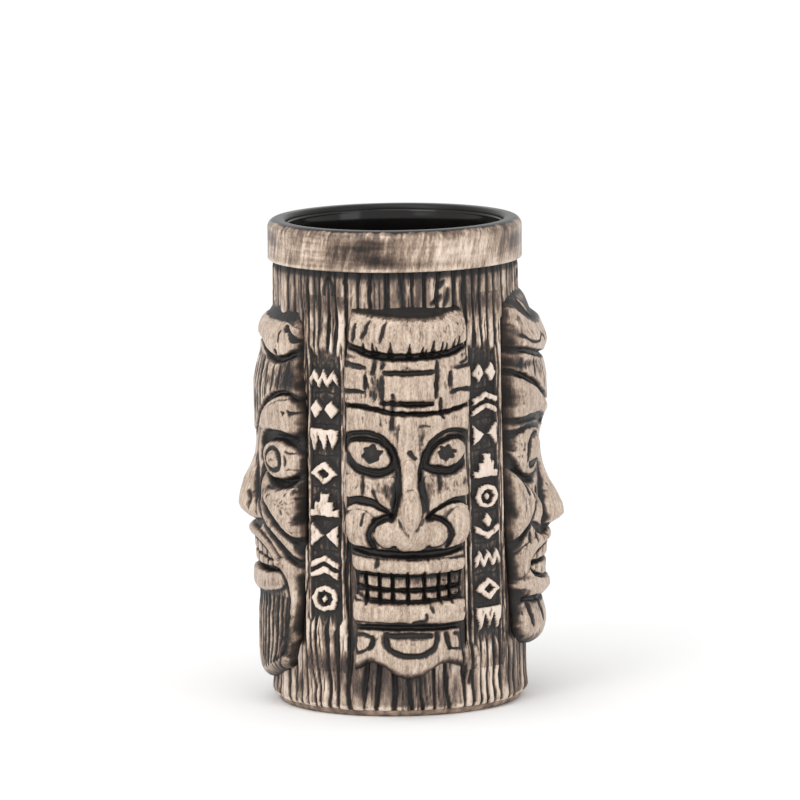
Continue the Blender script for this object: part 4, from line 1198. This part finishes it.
TEETH = [[(-5, 7.8), (-5, 5.4), (-3.3, 0.6), (-1.7, 5.4), (0, 0.6), (1.7, 5.4), (3.3, 0.6), (5, 5.4), (5, 7.8)]]
PAIR = [[(-2.6, 0.8), (-0.3, 4), (-2.6, 7.2), (-5, 4)], [(2.6, 0.8), (5, 4), (2.6, 7.2), (0.3, 4)]]
ARROW = [[(-5, 2.6), (0, 0), (5, 2.6), (5, 4.8), (0, 2.2), (-5, 4.8)], [(0, 3.6), (1.9, 5.9), (0, 8.2), (-1.9, 5.9)]]


def column(turn, low, pitch, marks, seed):
    cell = 0.25
    hw = 8.7
    nc, nr = int(round(2 * hw / cell)) + 1, int(round(120.0 / cell)) + 1
    S, Z = np.meshgrid(np.linspace(-hw, hw, nc), np.linspace(14.0, 134.0, nr))
    sg = S + math.radians(turn) * RAD
    bh, bk = bark(sg, Z)
    top = low + pitch * len(marks) + 1.0
    out = np.abs(S) - 6.9 - 0.4 * vnoise(Z / 5.0, Z * 0 + 1.0, seed + 3)
    rag = 2.4 * vnoise(S / 1.3, Z / 9.0, seed + 5)
    plain = np.clip(smooth((Z - top + rag) / 3.0) + smooth((low - 1.6 - Z + rag) / 3.0) + smooth(out / 0.5), 0, 1)
    F = Field(S, Z, 0.50 * np.ones(S.shape), seed, wobble=0.26)
    ground = 0.12 + 0.16 * fbm(sg / 1.2, Z / 6.0, seed + 1, 3) + 0.10 * fbm(S / 0.6, Z / 0.9, seed + 2, 2)
    F.H = (0.13 + bh) * plain + ground * (1 - plain)
    dark = 0.80 + 0.42 * fbm(S / 0.8, Z / 6.0, seed + 4, 3) - 0.16 * smooth(vnoise(S / 1.5, Z / 9.0, seed + 12) * 2)
    F.K = (bk + 0.04 * smooth(out / 0.4) * smooth((Z - low) / 6) * smooth((top - Z) / 6)) * plain + dark * (1 - plain)
    r = np.random.RandomState(seed)
    for i, loops in enumerate(marks):
        zb = low + i * pitch
        lean, sx, sz = r.uniform(-0.05, 0.05), r.uniform(0.94, 1.02), r.uniform(0.96, 1.04)
        sd = None
        near = np.nonzero((Z > zb - 1.5) & (Z < zb + 10.0))
        for pts in loops:
            q = []
            for j in range(len(pts)):
                (ax, az), (bx, bz) = pts[j], pts[(j + 1) % len(pts)]
                for t in (0.0, 0.5):
                    q.append((1.12 * sx * (ax + (bx - ax) * t) + lean * (az - 4) + r.uniform(-0.16, 0.16),
                              zb + sz * (az + (bz - az) * t) + r.uniform(-0.16, 0.16)))
            q = np.array(q)
            dist, _ = line_dist(F.x[near], F.y[near], q, True)
            one = np.where(inside(F.x[near], F.y[near], q), -dist, dist)
            sd = one if sd is None else np.where((sd < 0) & (one < 0), np.maximum(sd, -one),
                                                 np.where((sd < 0) | (one < 0), np.minimum(sd, one),
                                                          np.minimum(sd, one)))
        g = smooth((0.22 - sd) / 0.62)
        crown = 0.22 * np.sqrt(np.clip(1 - np.clip(1 + sd / 1.2, 0, 1) ** 2, 0, 1))
        lift = 1.18 + 0.16 * vnoise(F.x[near] / 3.0, F.y[near] / 3.0, seed + 6)
        F.H[near] = F.H[near] * (1 - g) + (ground[near] * 0.3 + 0.18 + lift + crown) * g
        F.K[near] += (-0.02 + 0.16 * vnoise(F.x[near] / 2.0, F.y[near] / 1.1, seed + 7) - F.K[near]) * smooth(g * 1.7 - 0.45)
    # thin ribs at both sides, each between two cuts
    for s in (-6.45, 6.45):
        wander = 0.34 * vnoise(Z / 9.0, Z * 0 + s, seed + 8) + 0.12 * vnoise(Z / 2.0, Z * 0 + s, seed + 8)
        d = np.abs(S - s - wander)
        on = smooth((Z - low + 7.0) / 6.0) * smooth((top + 5.0 - Z) / 6.0)
        g = smooth((0.62 - d) / 0.5) * on * (0.55 + 0.45 * smooth((vnoise(Z / 3.5, Z * 0 + s, seed + 13) + 0.3) / 0.5))
        cut = np.exp(-((d - 1.0) / 0.34) ** 2) * on * (0.6 + 0.4 * vnoise(Z / 5.0, S * 0 + s, seed + 14))
        F.H += (0.70 - F.H) * g * 0.8 - 0.42 * cut
        F.K += (0.44 + 0.42 * vnoise(Z / 4.0, Z * 0 + 3.0 * s, seed + 9) + 0.2 * vnoise(Z / 1.1, S / 0.4, seed + 10)
                - F.K) * g
        F.K = np.maximum(F.K, 0.95 * cut)
    for i in range(len(marks) - 1):          # shallow chisel lines between the marks
        zc = low + (i + 1) * pitch - 0.9
        F.groove([(-4.8, zc + r.uniform(-0.3, 0.3)), (0, zc + r.uniform(-0.3, 0.3)), (4.8, zc + r.uniform(-0.3, 0.3))],
                 0.5, 0.25, 1.0, taper=0.4)
    F.scratches((-5.2, 5.2, low, top), 70, 2.4, 0.28, 0.12, 0.6, lean=0.15, seed=9)
    F.H = np.maximum(F.H, -0.55)
    F.finish(cell, tool=0.06, grain=0.06, wash=0.02)
    F.H = np.maximum(F.H, -0.62)
    # both ends run out into the bark of the cup without a step
    end = np.clip(smooth((22.0 - Z) / 6.0) + smooth((Z - 126.0) / 6.0), 0, 1)
    F.ink = F.ink * (1 - end) + (bk + 0.12 + 0.10 * vnoise(S / 1.0, Z / 5.0, seed + 15)) * end
    return F, S, Z


# ================================================================ build pieces
def body(name, maker, turn, node, segs=1):
    F, S, Z = maker
    o = slab(name, S, Z, F.H, F.ink, turn, segs=segs)
    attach(o, "root")
    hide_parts(node)
    return o


pieces = {}
for label, maker, turn, node, finish_slot in (
        ("Front_Mask_Face", front_face, 0, "front_mask", "mask_glaze"),
        ("Front_Mask_Headdress", front_crown, 0, "front_headdress", "headdress_glaze"),
        ("Left_Mask_Face", left_face, -90, "left_mask", "mask_glaze"),
        ("Left_Mask_Headdress", left_crown, -90, "left_headdress", "headdress_glaze"),
        ("Right_Mask_Face", right_face, 90, "right_mask", "mask_glaze"),
        ("Right_Mask_Headdress", right_crown, 90, "right_headdress", "headdress_glaze"),
        ("Back_Mask_Face", back_face, 180, "back_mask", "mask_glaze"),
        ("Back_Mask_Headdress", back_crown, 180, "back_headdress", "headdress_glaze")):
    pieces[label] = body(label, maker(), turn, node)

for label, turn, low, pitch, marks, node, seed in (
        ("Mark_Column_Front_Left", -40, 33.2, 10.1, [SUN, CHEVRONS, WINGS, STEPS, LOZENGE, TEETH, PAIR, RIPPLE],
         "sign_front_left", 211),
        ("Mark_Column_Front_Right", 40, 25.4, 9.9, [TEETH, LOZENGE, RIPPLE, ARROW, SUN, STEPS, WINGS, CHEVRONS, PAIR],
         "sign_front_right", 223),
        ("Mark_Column_Back_Right", 140, 33.2, 10.1, [PAIR, STEPS, TEETH, SUN, ARROW, LOZENGE, CHEVRONS, WINGS],
         "sign_back_right", 239),
        ("Mark_Column_Back_Left", -140, 25.4, 9.9, [RIPPLE, WINGS, LOZENGE, CHEVRONS, PAIR, TEETH, STEPS, SUN, ARROW],
         "sign_back_left", 251)):
    pieces[label] = body(label, column(turn, low, pitch, marks, seed), turn, node, segs=4)


# ------------------------------------------------------------ tumbler and foot
def tumbler():
    cols = 640
    zs = np.concatenate([[2.0], np.arange(2.5, 21, 0.55), np.arange(23, 124, 3.2), np.arange(125.5, 141.9, 0.45), [142.0]])
    prof = [(float(wall(z)), float(z)) for z in zs]
    prof[0] = (39.2, 2.0)
    n_out = len(prof)
    prof += [(36.0, 142.0), (36.1, 120), (36.25, 90), (36.4, 60), (36.55, 30), (36.7, 14), (36.0, 9.0), (33.0, 6.0),
             (28.0, 5.0), (15.0, 5.0), (0.0, 5.0), (0.0, 2.0), (14.0, 2.0), (30.0, 2.0)]
    prof = np.array(prof)
    th = np.arange(cols) * 2 * math.pi / cols
    T, I = np.meshgrid((th + math.pi) % (2 * math.pi) - math.pi, np.arange(len(prof)))
    Sg, Zg = T * RAD, np.broadcast_to(prof[:, 1][:, None], T.shape)
    h, k = bark(Sg, Zg)
    h = np.clip(h + 0.10, -0.75, 1.0)
    shown = (I < n_out)
    # the bark sinks under the masks and columns, and swells a little at the foot
    h = h + 0.42 * smooth((9.0 - Zg) / 6.0) - 0.55 * smooth((4.4 - Zg) / 2.2) - 0.25 * smooth((Zg - 139.0) / 3.0)
    h = np.where((Zg > 21.5) & (Zg < 124.5), -0.5, h)
    # gouges and knots at the neck
    F = Field(Sg, Zg, np.where(shown, h, 0.0), 307, wobble=0.1)
    F.K = k.copy()
    F.sink([(11.2, 136.2), (12.6, 137.6), (13.0, 138.8), (11.8, 138.4), (10.8, 137.4)], 0.7, 1.15, 0.3)
    F.groove([(-27.4, 131), (-27.5, 136.5), (-26.2, 139.6), (-24.8, 136.6), (-24.9, 131)], 0.6, 0.6, 1.05)
    F.groove([(8.6, 131.6), (10.6, 132.8), (11.6, 134.0)], 0.9, 0.6, 1.1, taper=0.6)
    F.groove([(13.2, 131.2), (14.0, 133.2), (14.2, 136)], 0.8, 0.6, 1.05, taper=0.6)
    F.groove([(17.6, 10.4), (18.4, 13.2), (19.4, 15.8)], 0.9, 0.6, 1.1, taper=0.6)
    F.groove([(19.8, 10.0), (20.6, 12.6), (21.2, 15.0)], 0.8, 0.6, 1.1, taper=0.6)
    for s, dz in ((-60, 0), (55, 3), (100, 1), (-104, 4)):
        F.sink([(s - 0.8, 134 + dz), (s, 135.2 + dz), (s + 0.9, 134.2 + dz), (s + 0.1, 132.6 + dz)], 0.6, 1.1, 0.35)
    H = F.H
    deep = blur(H, 3, True) - H
    ink = F.K + 0.5 * np.clip(deep / 0.3, -0.5, 1.0) + 0.10
    ink += 0.75 * smooth((Zg - 139.2) / 1.6) + 0.25 * smooth((Zg - 136.5) / 4.0)
    ink -= 0.75 * smooth((3.7 - Zg - 0.7 * vnoise(Sg / 1.6, Zg, 311)) / 1.2)
    ink += 0.50 * np.exp(-((Sg + 3.0) / 9.5) ** 2 - ((Zg - 11.0) / 6.5) ** 2)
    ink -= 0.20 * np.exp(-((Sg - 27.0) / 9.0) ** 2 - ((Zg - 9.0) / 9.0) ** 2)
    ink -= 0.14 * np.exp(-((Sg + 30.0) / 8.0) ** 2 - ((Zg - 6.0) / 5.0) ** 2)
    ink = np.clip(np.where(shown, ink, 0.6), -0.3, 1.25)
    return lathe("Tumbler_Wall", prof, cols, lambda t, i: np.where(shown, H, 0.0), lambda t, i: ink)


def rim():
    cols = 560
    pts = []

    def arc(cx, cz, r, a0, a1, n):
        for i in range(n):
            a = math.radians(a0 + (a1 - a0) * i / (n - 1))
            pts.append((cx + r * math.cos(a), cz + r * math.sin(a)))
    pts.append((38.2, 141.96))
    arc(39.9, 142.75, 0.75, -110, 0, 6)
    for z in np.arange(143.3, 152.2, 0.42):
        pts.append((40.62, float(z)))
    arc(40.62 - 2.75, 155.0 - 2.75, 2.75, 0, 90, 13)
    for r_ in (37.2, 36.7, 36.4):
        pts.append((r_, 155.0))
    arc(34.8 + 1.55, 155.0 - 1.55, 1.55, 95, 180, 8)
    for p in ((34.8, 152.4), (34.8, 151.2), (34.85, 150.4), (35.2, 147.4), (35.9, 142.6), (36.2, 141.96)):
        pts.append(p)
    P = np.array(pts)
    cum = np.concatenate([[0], np.cumsum(np.hypot(*(P[1:] - P[:-1]).T))])
    th = np.arange(cols) * 2 * math.pi / cols
    T, I = np.meshgrid((th + math.pi) % (2 * math.pi) - math.pi, np.arange(len(P)))
    S, A = T * RAD, cum[:, None] + 0 * T
    Zg, Rg = P[:, 1][:, None] + 0 * T, P[:, 0][:, None] + 0 * T
    h = 0.06 * fbm(S / 9.0, A / 6.0, 331, 2) + 0.03 * fbm(S / 1.4, A / 5.0, 333, 3)
    F = Field(S, Zg, h * (Rg > 38.0), 337, wobble=0.1)
    side = Rg > 39.0
    lean = S - 0.25 * A
    ink = 0.07 + 0.34 * fbm(lean / 1.1, A / 8.0, 341, 4) + 0.20 * fbm(lean / 0.45, A / 3.4, 343, 3)
    ink += 0.22 * fbm(S / 8.0, A / 0.9, 345, 3) * smooth((4.0 - S) / 12.0)
    ink += 0.10 * fbm(S / 8.0, A / 0.9, 346, 3) + 0.18 * smooth((vnoise(S / 12.0, A / 9.0, 347) - 0.1) / 0.6)
    F.K = ink
    F.shade(-11.5, 150.3, 9.5, 2.6, 0.46).shade(-7.8, 145.4, 5.0, 1.7, 0.66).shade(-12, 147, 8, 3.2, 0.16)
    F.shade(2.0, 144.6, 16.0, 1.0, 0.18).shade(22, 148.5, 16, 5, -0.16)
    F.shade(-21.0, 147.0, 3.0, 3.6, 0.22).shade(46, 149, 9, 3, 0.4).shade(-58, 150, 10, 3, 0.4).shade(96, 147, 9, 4, 0.4)
    F.shade(-98, 149, 8, 3, 0.4)
    # dark glaze laps over the lip with a ragged edge
    lap = 14.8 + cum[0] + 0.45 * vnoise(S / 2.2, A * 0 + 1, 351) + 0.30 * vnoise(S / 0.8, A * 0 + 2, 353)
    k = F.K + 1.2 * smooth((A - lap) / 0.9)
    k += 0.22 * smooth((A - lap + 1.9 + 1.3 * vnoise(S / 0.5, A * 0 + 3, 355)) / 1.6)
    k -= 0.16 * smooth((A - 1.6) / 0.8) * smooth((3.6 - A) / 1.0)
    k += 0.75 * smooth((1.5 - A) / 0.7)
    inner = np.exp(-((A - (cum[np.argmin(np.abs(P[:, 0] - 36.4))] + 0.5)) / 0.35) ** 2)
    k -= 0.62 * inner * smooth((vnoise(S / 6.0, A * 0 + 4, 357) + 0.5) / 0.6)
    k = np.clip(k, -0.3, 1.25)
    H = F.H
    return lathe("Rim_Band", P, cols, lambda t, i: H, lambda t, i: k)


def lining():
    cols = 256
    pts = [(0.0, 5.1), (28.3, 5.1), (33.2, 6.1), (36.2, 9.1), (36.68, 14.0), (36.5, 30), (36.35, 60), (36.2, 90),
           (36.05, 120), (35.98, 141.8), (35.3, 147.0), (34.78, 150.5), (34.78, 153.1), (34.5, 153.35), (34.2, 153.2)]
    for z in np.linspace(152.7, 143, 24):
        pts.append((float(np.interp(z, [142, 143.5, 145.5, 147.2, 148.6, 149.8, 150.8, 151.8, 152.6, 153.2],
                                    [35.6, 35.3, 34.55, 34.02, 33.8, 33.78, 33.86, 34.02, 34.16, 34.2])), float(z)))
    for z in np.linspace(140, 18, 26):
        pts.append((float(np.interp(z, [16, 142], [36.1, 35.6])), float(z)))
    for i in range(1, 9):
        a = math.radians(-11.25 * i + 0)
        pts.append((27.7 + 8.4 * math.cos(a), 14.0 + 8.4 * math.sin(a)))
    pts += [(20.0, 5.6), (8.0, 5.6), (0.0, 5.6)]
    P = np.array(pts)
    n = len(P)

    def radial(T, I):
        z = P[:, 1][I]
        inner = (I > 14) & (z > 12)
        return np.where(inner, 0.035 * np.sin(3 * T + z / 17.0) + 0.03 * np.sin(5 * T - z / 9.0), 0.0)

    return lathe("Black_Lining", P, cols, radial, lambda T, I: np.full(T.shape, 1.0))


def foot_loop():
    cols = 320
    P = np.array([(33.4, 1.2), (33.6, 0.25), (34.2, 0.0), (35.4, 0.0), (36.6, 0.0), (37.6, 0.02), (38.3, 0.18), (38.8, 0.6),
                  (39.15, 1.1), (39.4, 1.6), (39.45, 2.0), (36.5, 2.0), (33.4, 2.0)])
    S_of = lambda T: ((T + math.pi) % (2 * math.pi) - math.pi) * RAD

    def radial(T, I):
        return np.where(P[:, 0][I] > 38.2, 0.10 * fbm(S_of(T) / 2.0, P[:, 1][I], 371, 3), 0.0)

    def ink(T, I):
        k = 0.30 + 0.45 * fbm(S_of(T) / 1.6, P[:, 1][I] / 1.5, 373, 3)
        return np.where(P[:, 0][I] > 38, k + 0.10, k)

    return lathe("Foot_Ring", P, cols, radial, ink)


for label, maker, node, finish_slot in (("Tumbler_Wall", tumbler, "mug_body", "bark_stain"),
                                        ("Rim_Band", rim, "rim_band", "rim_glaze"),
                                        ("Black_Lining", lining, "inner_glaze", "black_glaze"),
                                        ("Foot_Ring", foot_loop, "foot_ring", "bare_clay")):
    o = maker()
    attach(o, "root")
    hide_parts(node)
    pieces[label] = o


# =================================================================== materials
def srgb(r, g, b):
    def f(c):
        c /= 255.0
        return c / 12.92 if c <= 0.04045 else ((c + 0.055) / 1.055) ** 2.4
    return (f(r), f(g), f(b), 1.0)


class Nodes:
    def __init__(self, name):
        self.mat = bpy.data.materials.new(name)
        self.mat.use_nodes = True
        self.t = self.mat.node_tree
        self.t.nodes.clear()
        self.out = self.t.nodes.new("ShaderNodeOutputMaterial")
        self.bsdf = self.t.nodes.new("ShaderNodeBsdfPrincipled")
        self.link(self.bsdf.outputs[0], self.out.inputs[0])

    def node(self, kind, **props):
        n = self.t.nodes.new("ShaderNode" + kind)
        for k, v in props.items():
            setattr(n, k, v)
        return n

    def link(self, a, b):
        self.t.links.new(a, b)

    def math(self, op, a, b, clamp=False):
        n = self.node("Math", operation=op, use_clamp=clamp)
        for i, v in enumerate((a, b)):
            if isinstance(v, (int, float)):
                n.inputs[i].default_value = v
            else:
                self.link(v, n.inputs[i])
        return n.outputs[0]

    def noise(self, scale, stretch=(1, 1, 1), detail=3.0, rough=0.55, shift=0.0):
        tc = self.node("TexCoord")
        mp = self.node("Mapping")
        self.link(tc.outputs["Object"], mp.inputs["Vector"])
        mp.inputs["Scale"].default_value = stretch
        mp.inputs["Location"].default_value = (shift, -shift, 0.5 * shift)
        n = self.node("TexNoise")
        n.inputs["Scale"].default_value = scale
        n.inputs["Detail"].default_value = detail
        n.inputs["Roughness"].default_value = rough
        self.link(mp.outputs["Vector"], n.inputs["Vector"])
        return n.outputs["Fac"]


def glaze(name, stops, streak=0.22, speck=0.16, rough=(0.34, 0.52), shift=0.0, bump=0.00012, extra=0.0):
    m = Nodes(name)
    att = m.node("Attribute", attribute_name="ink")
    s1 = m.math("MULTIPLY", m.math("SUBTRACT", m.noise(900.0, (1, 1, 0.11), 4.0, 0.6, shift), 0.5), streak * 2.0)
    s2 = m.math("MULTIPLY", m.math("SUBTRACT", m.noise(2600.0, (1, 1, 0.35), 3.0, 0.6, shift + 3), 0.5), speck * 2.0)
    s3 = m.math("MULTIPLY", m.math("SUBTRACT", m.noise(150.0, (1, 1, 0.6), 3.0, 0.5, shift + 7), 0.5), 0.26)
    k = m.math("ADD", m.math("ADD", att.outputs["Fac"], s1), m.math("ADD", s2, s3))
    if extra:
        k = m.math("ADD", k, extra)
    mr = m.node("MapRange")
    mr.inputs["From Min"].default_value = -0.4
    mr.inputs["From Max"].default_value = 1.2
    m.link(k, mr.inputs["Value"])
    ramp = m.node("ValToRGB")
    cr = ramp.color_ramp
    cr.interpolation = "LINEAR"
    while len(cr.elements) > 1:
        cr.elements.remove(cr.elements[-1])
    for i, (pos, col) in enumerate(stops):
        e = cr.elements[0] if i == 0 else cr.elements.new(pos)
        e.position = pos
        e.color = srgb(*col)
    m.link(mr.outputs["Result"], ramp.inputs["Fac"])
    m.link(ramp.outputs["Color"], m.bsdf.inputs["Base Color"])
    rr = m.node("MapRange")
    rr.inputs["From Min"].default_value = 0.0
    rr.inputs["From Max"].default_value = 1.0
    rr.inputs["To Min"].default_value = rough[0]
    rr.inputs["To Max"].default_value = rough[1]
    m.link(mr.outputs["Result"], rr.inputs["Value"])
    m.link(rr.outputs["Result"], m.bsdf.inputs["Roughness"])
    m.bsdf.inputs["IOR"].default_value = 1.5
    b = m.node("Bump")
    b.inputs["Strength"].default_value = 0.55
    b.inputs["Distance"].default_value = bump
    m.link(m.math("ADD", m.noise(1900.0, (1, 1, 0.22), 4.0, 0.6, shift + 11), m.noise(5200.0, (1, 1, 0.8), 2.0, 0.6, shift + 13)),
           b.inputs["Height"])
    m.link(b.outputs["Normal"], m.bsdf.inputs["Normal"])
    return m.mat


CREAM = [(0.00, (230, 214, 200)), (0.12, (216, 198, 182)), (0.24, (187, 167, 149)), (0.34, (152, 132, 116)),
         (0.43, (124, 106, 92)), (0.52, (98, 81, 71)), (0.64, (70, 57, 49)), (0.79, (41, 34, 30)), (1.00, (21, 18, 16))]
CLAY = [(0.00, (200, 178, 158)), (0.35, (172, 150, 132)), (0.6, (110, 92, 80)), (1.0, (52, 44, 38))]

mats = {
    "mask": glaze("Cream_Glaze_Washed_Cuts", CREAM, 0.36, 0.34, (0.36, 0.50), 0.0),
    "crown": glaze("Cream_Glaze_Headdress", CREAM, 0.38, 0.34, (0.36, 0.50), 21.0),
    "column": glaze("Dark_Ground_Raised_Marks", CREAM, 0.34, 0.32, (0.38, 0.50), 53.0),
    "bark": glaze("Bark_Wash", CREAM, 0.34, 0.32, (0.38, 0.50), 53.0),
    "rim": glaze("Rim_Brushed_Glaze", CREAM, 0.30, 0.22, (0.34, 0.30), 71.0, 0.00008),
    "clay": glaze("Bare_Clay_Foot", CLAY, 0.14, 0.26, (0.78, 0.85), 83.0, 0.00008),
}

mats["rim"].node_tree.nodes["Principled BSDF"].inputs["Specular IOR Level"].default_value = 0.28
for key in ("mask", "crown", "column", "bark"):
    mats[key].node_tree.nodes["Principled BSDF"].inputs["Specular IOR Level"].default_value = 0.42

lin = Nodes("Gloss_Black_Lining")
mr = lin.node("MapRange")
mr.inputs["To Min"].default_value = 0.08
mr.inputs["To Max"].default_value = 0.16
lin.link(lin.noise(60.0, (1, 1, 0.5), 2.0, 0.5), mr.inputs["Value"])
lin.link(mr.outputs["Result"], lin.bsdf.inputs["Roughness"])
ramp = lin.node("ValToRGB")
ramp.color_ramp.elements[0].color = srgb(14, 13, 13)
ramp.color_ramp.elements[1].color = srgb(27, 25, 24)
lin.bsdf.inputs["Specular IOR Level"].default_value = 0.36
lin.link(lin.noise(220.0, (1, 1, 0.4), 3.0, 0.6, 5.0), ramp.inputs["Fac"])
lin.link(ramp.outputs["Color"], lin.bsdf.inputs["Base Color"])
b = lin.node("Bump")
b.inputs["Strength"].default_value = 0.25
b.inputs["Distance"].default_value = 0.0002
lin.link(lin.noise(95.0, (1, 1, 0.6), 2.0, 0.5, 9.0), b.inputs["Height"])
lin.link(b.outputs["Normal"], lin.bsdf.inputs["Normal"])
mats["lining"] = lin.mat

for label, key in (("Front_Mask_Face", "mask"), ("Left_Mask_Face", "mask"), ("Right_Mask_Face", "mask"),
                   ("Back_Mask_Face", "mask"), ("Front_Mask_Headdress", "crown"), ("Left_Mask_Headdress", "crown"),
                   ("Right_Mask_Headdress", "crown"), ("Back_Mask_Headdress", "crown"),
                   ("Mark_Column_Front_Left", "column"), ("Mark_Column_Front_Right", "column"),
                   ("Mark_Column_Back_Left", "column"), ("Mark_Column_Back_Right", "column"),
                   ("Tumbler_Wall", "bark"), ("Rim_Band", "rim"), ("Black_Lining", "lining"), ("Foot_Ring", "clay")):
    pieces[label].data.materials.append(mats[key])

# ====================================================== floor, light and camera
def backdrop():
    """A wide pale floor that fills the frame behind the mug."""
    radii = [0.05, 0.1, 0.2, 0.4, 0.8, 1.6, 3.2, 6.0, 11.0, 20.0]
    n = 96
    vs, fs = [(0, 0, 0)], []
    for r in radii:
        for i in range(n):
            a = 2 * math.pi * i / n
            vs.append((r * math.cos(a), r * math.sin(a), 0.0))
    for i in range(n):
        fs.append((0, 1 + i, 1 + (i + 1) % n))
    for j in range(len(radii) - 1):
        a, b_ = 1 + j * n, 1 + (j + 1) * n
        for i in range(n):
            fs.append((a + i, b_ + i, b_ + (i + 1) % n, a + (i + 1) % n))
    me = bpy.data.meshes.new("Floor")
    me.from_pydata(vs, [], fs)
    o = bpy.data.objects.new("Floor", me)
    bpy.context.scene.collection.objects.link(o)
    m = bpy.data.materials.new("Pale_Floor")
    m.use_nodes = True
    bs = m.node_tree.nodes["Principled BSDF"]
    bs.inputs["Base Color"].default_value = (0.90, 0.90, 0.90, 1)
    bs.inputs["Roughness"].default_value = 0.8
    bs.inputs["Specular IOR Level"].default_value = 0.1
    me.materials.append(m)
    return o


floor = backdrop()

world = bpy.data.worlds.new("Studio")
bpy.context.scene.world = world
world.use_nodes = True
world.node_tree.nodes["Background"].inputs["Color"].default_value = (1.0, 1.0, 1.0, 1)
world.node_tree.nodes["Background"].inputs["Strength"].default_value = 0.90

YAW = math.radians(-4.5)


def turned(x, y, z):
    return Vector((x * math.cos(YAW) - y * math.sin(YAW), x * math.sin(YAW) + y * math.cos(YAW), z)) * MM


def area(name, at, aim, size, size_y, watts, color=(1, 1, 1)):
    l = bpy.data.lights.new(name, "AREA")
    l.shape = "RECTANGLE"
    l.size, l.size_y, l.energy, l.color = size, size_y, watts, color
    o = bpy.data.objects.new(name, l)
    o.location = turned(*at)
    d = turned(*aim) - o.location
    o.rotation_euler = d.to_track_quat("-Z", "Y").to_euler()
    bpy.context.scene.collection.objects.link(o)
    return o


def sky(name, aim_from, power, spread):
    l = bpy.data.lights.new(name, "SUN")
    l.energy, l.angle = power, math.radians(spread)
    o = bpy.data.objects.new(name, l)
    d = -turned(*aim_from)
    o.rotation_euler = d.to_track_quat("-Z", "Y").to_euler()
    bpy.context.scene.collection.objects.link(o)
    return o


sky("Overhead_Wash", (-150, -350, 1000), 0.80, 50)
area("Key_Softbox", (-620, -900, 760), (0, 0, 80), 0.55, 0.75, 3.6, (1.0, 0.985, 0.96))
area("Fill_Softbox", (900, -760, 420), (0, 0, 80), 0.5, 0.8, 1.6, (0.98, 0.99, 1.0))

cam_data = bpy.data.cameras.new("Camera")
cam_data.sensor_width = 36.0
cam_data.lens = 357.5
cam_data.clip_start, cam_data.clip_end = 0.1, 20.0
cam = bpy.data.objects.new("Camera", cam_data)
bpy.context.scene.collection.objects.link(cam)
eye, aim = turned(1.065, -2517.4, 456.9), turned(1.065, 0.0, 95.87)
d = (aim - eye).normalized()
right = d.cross(Vector((0, 0, 1))).normalized()
up = right.cross(d).normalized()
rho = math.radians(-0.733)
r2 = right * math.cos(rho) + up * math.sin(rho)
u2 = -right * math.sin(rho) + up * math.cos(rho)
M = Matrix((r2, u2, -d)).transposed().to_4x4()
M.translation = eye
cam.matrix_world = M
bpy.context.scene.camera = cam

bpy.context.scene.view_settings.view_transform = "Standard"
bpy.context.scene.view_settings.look = "None"
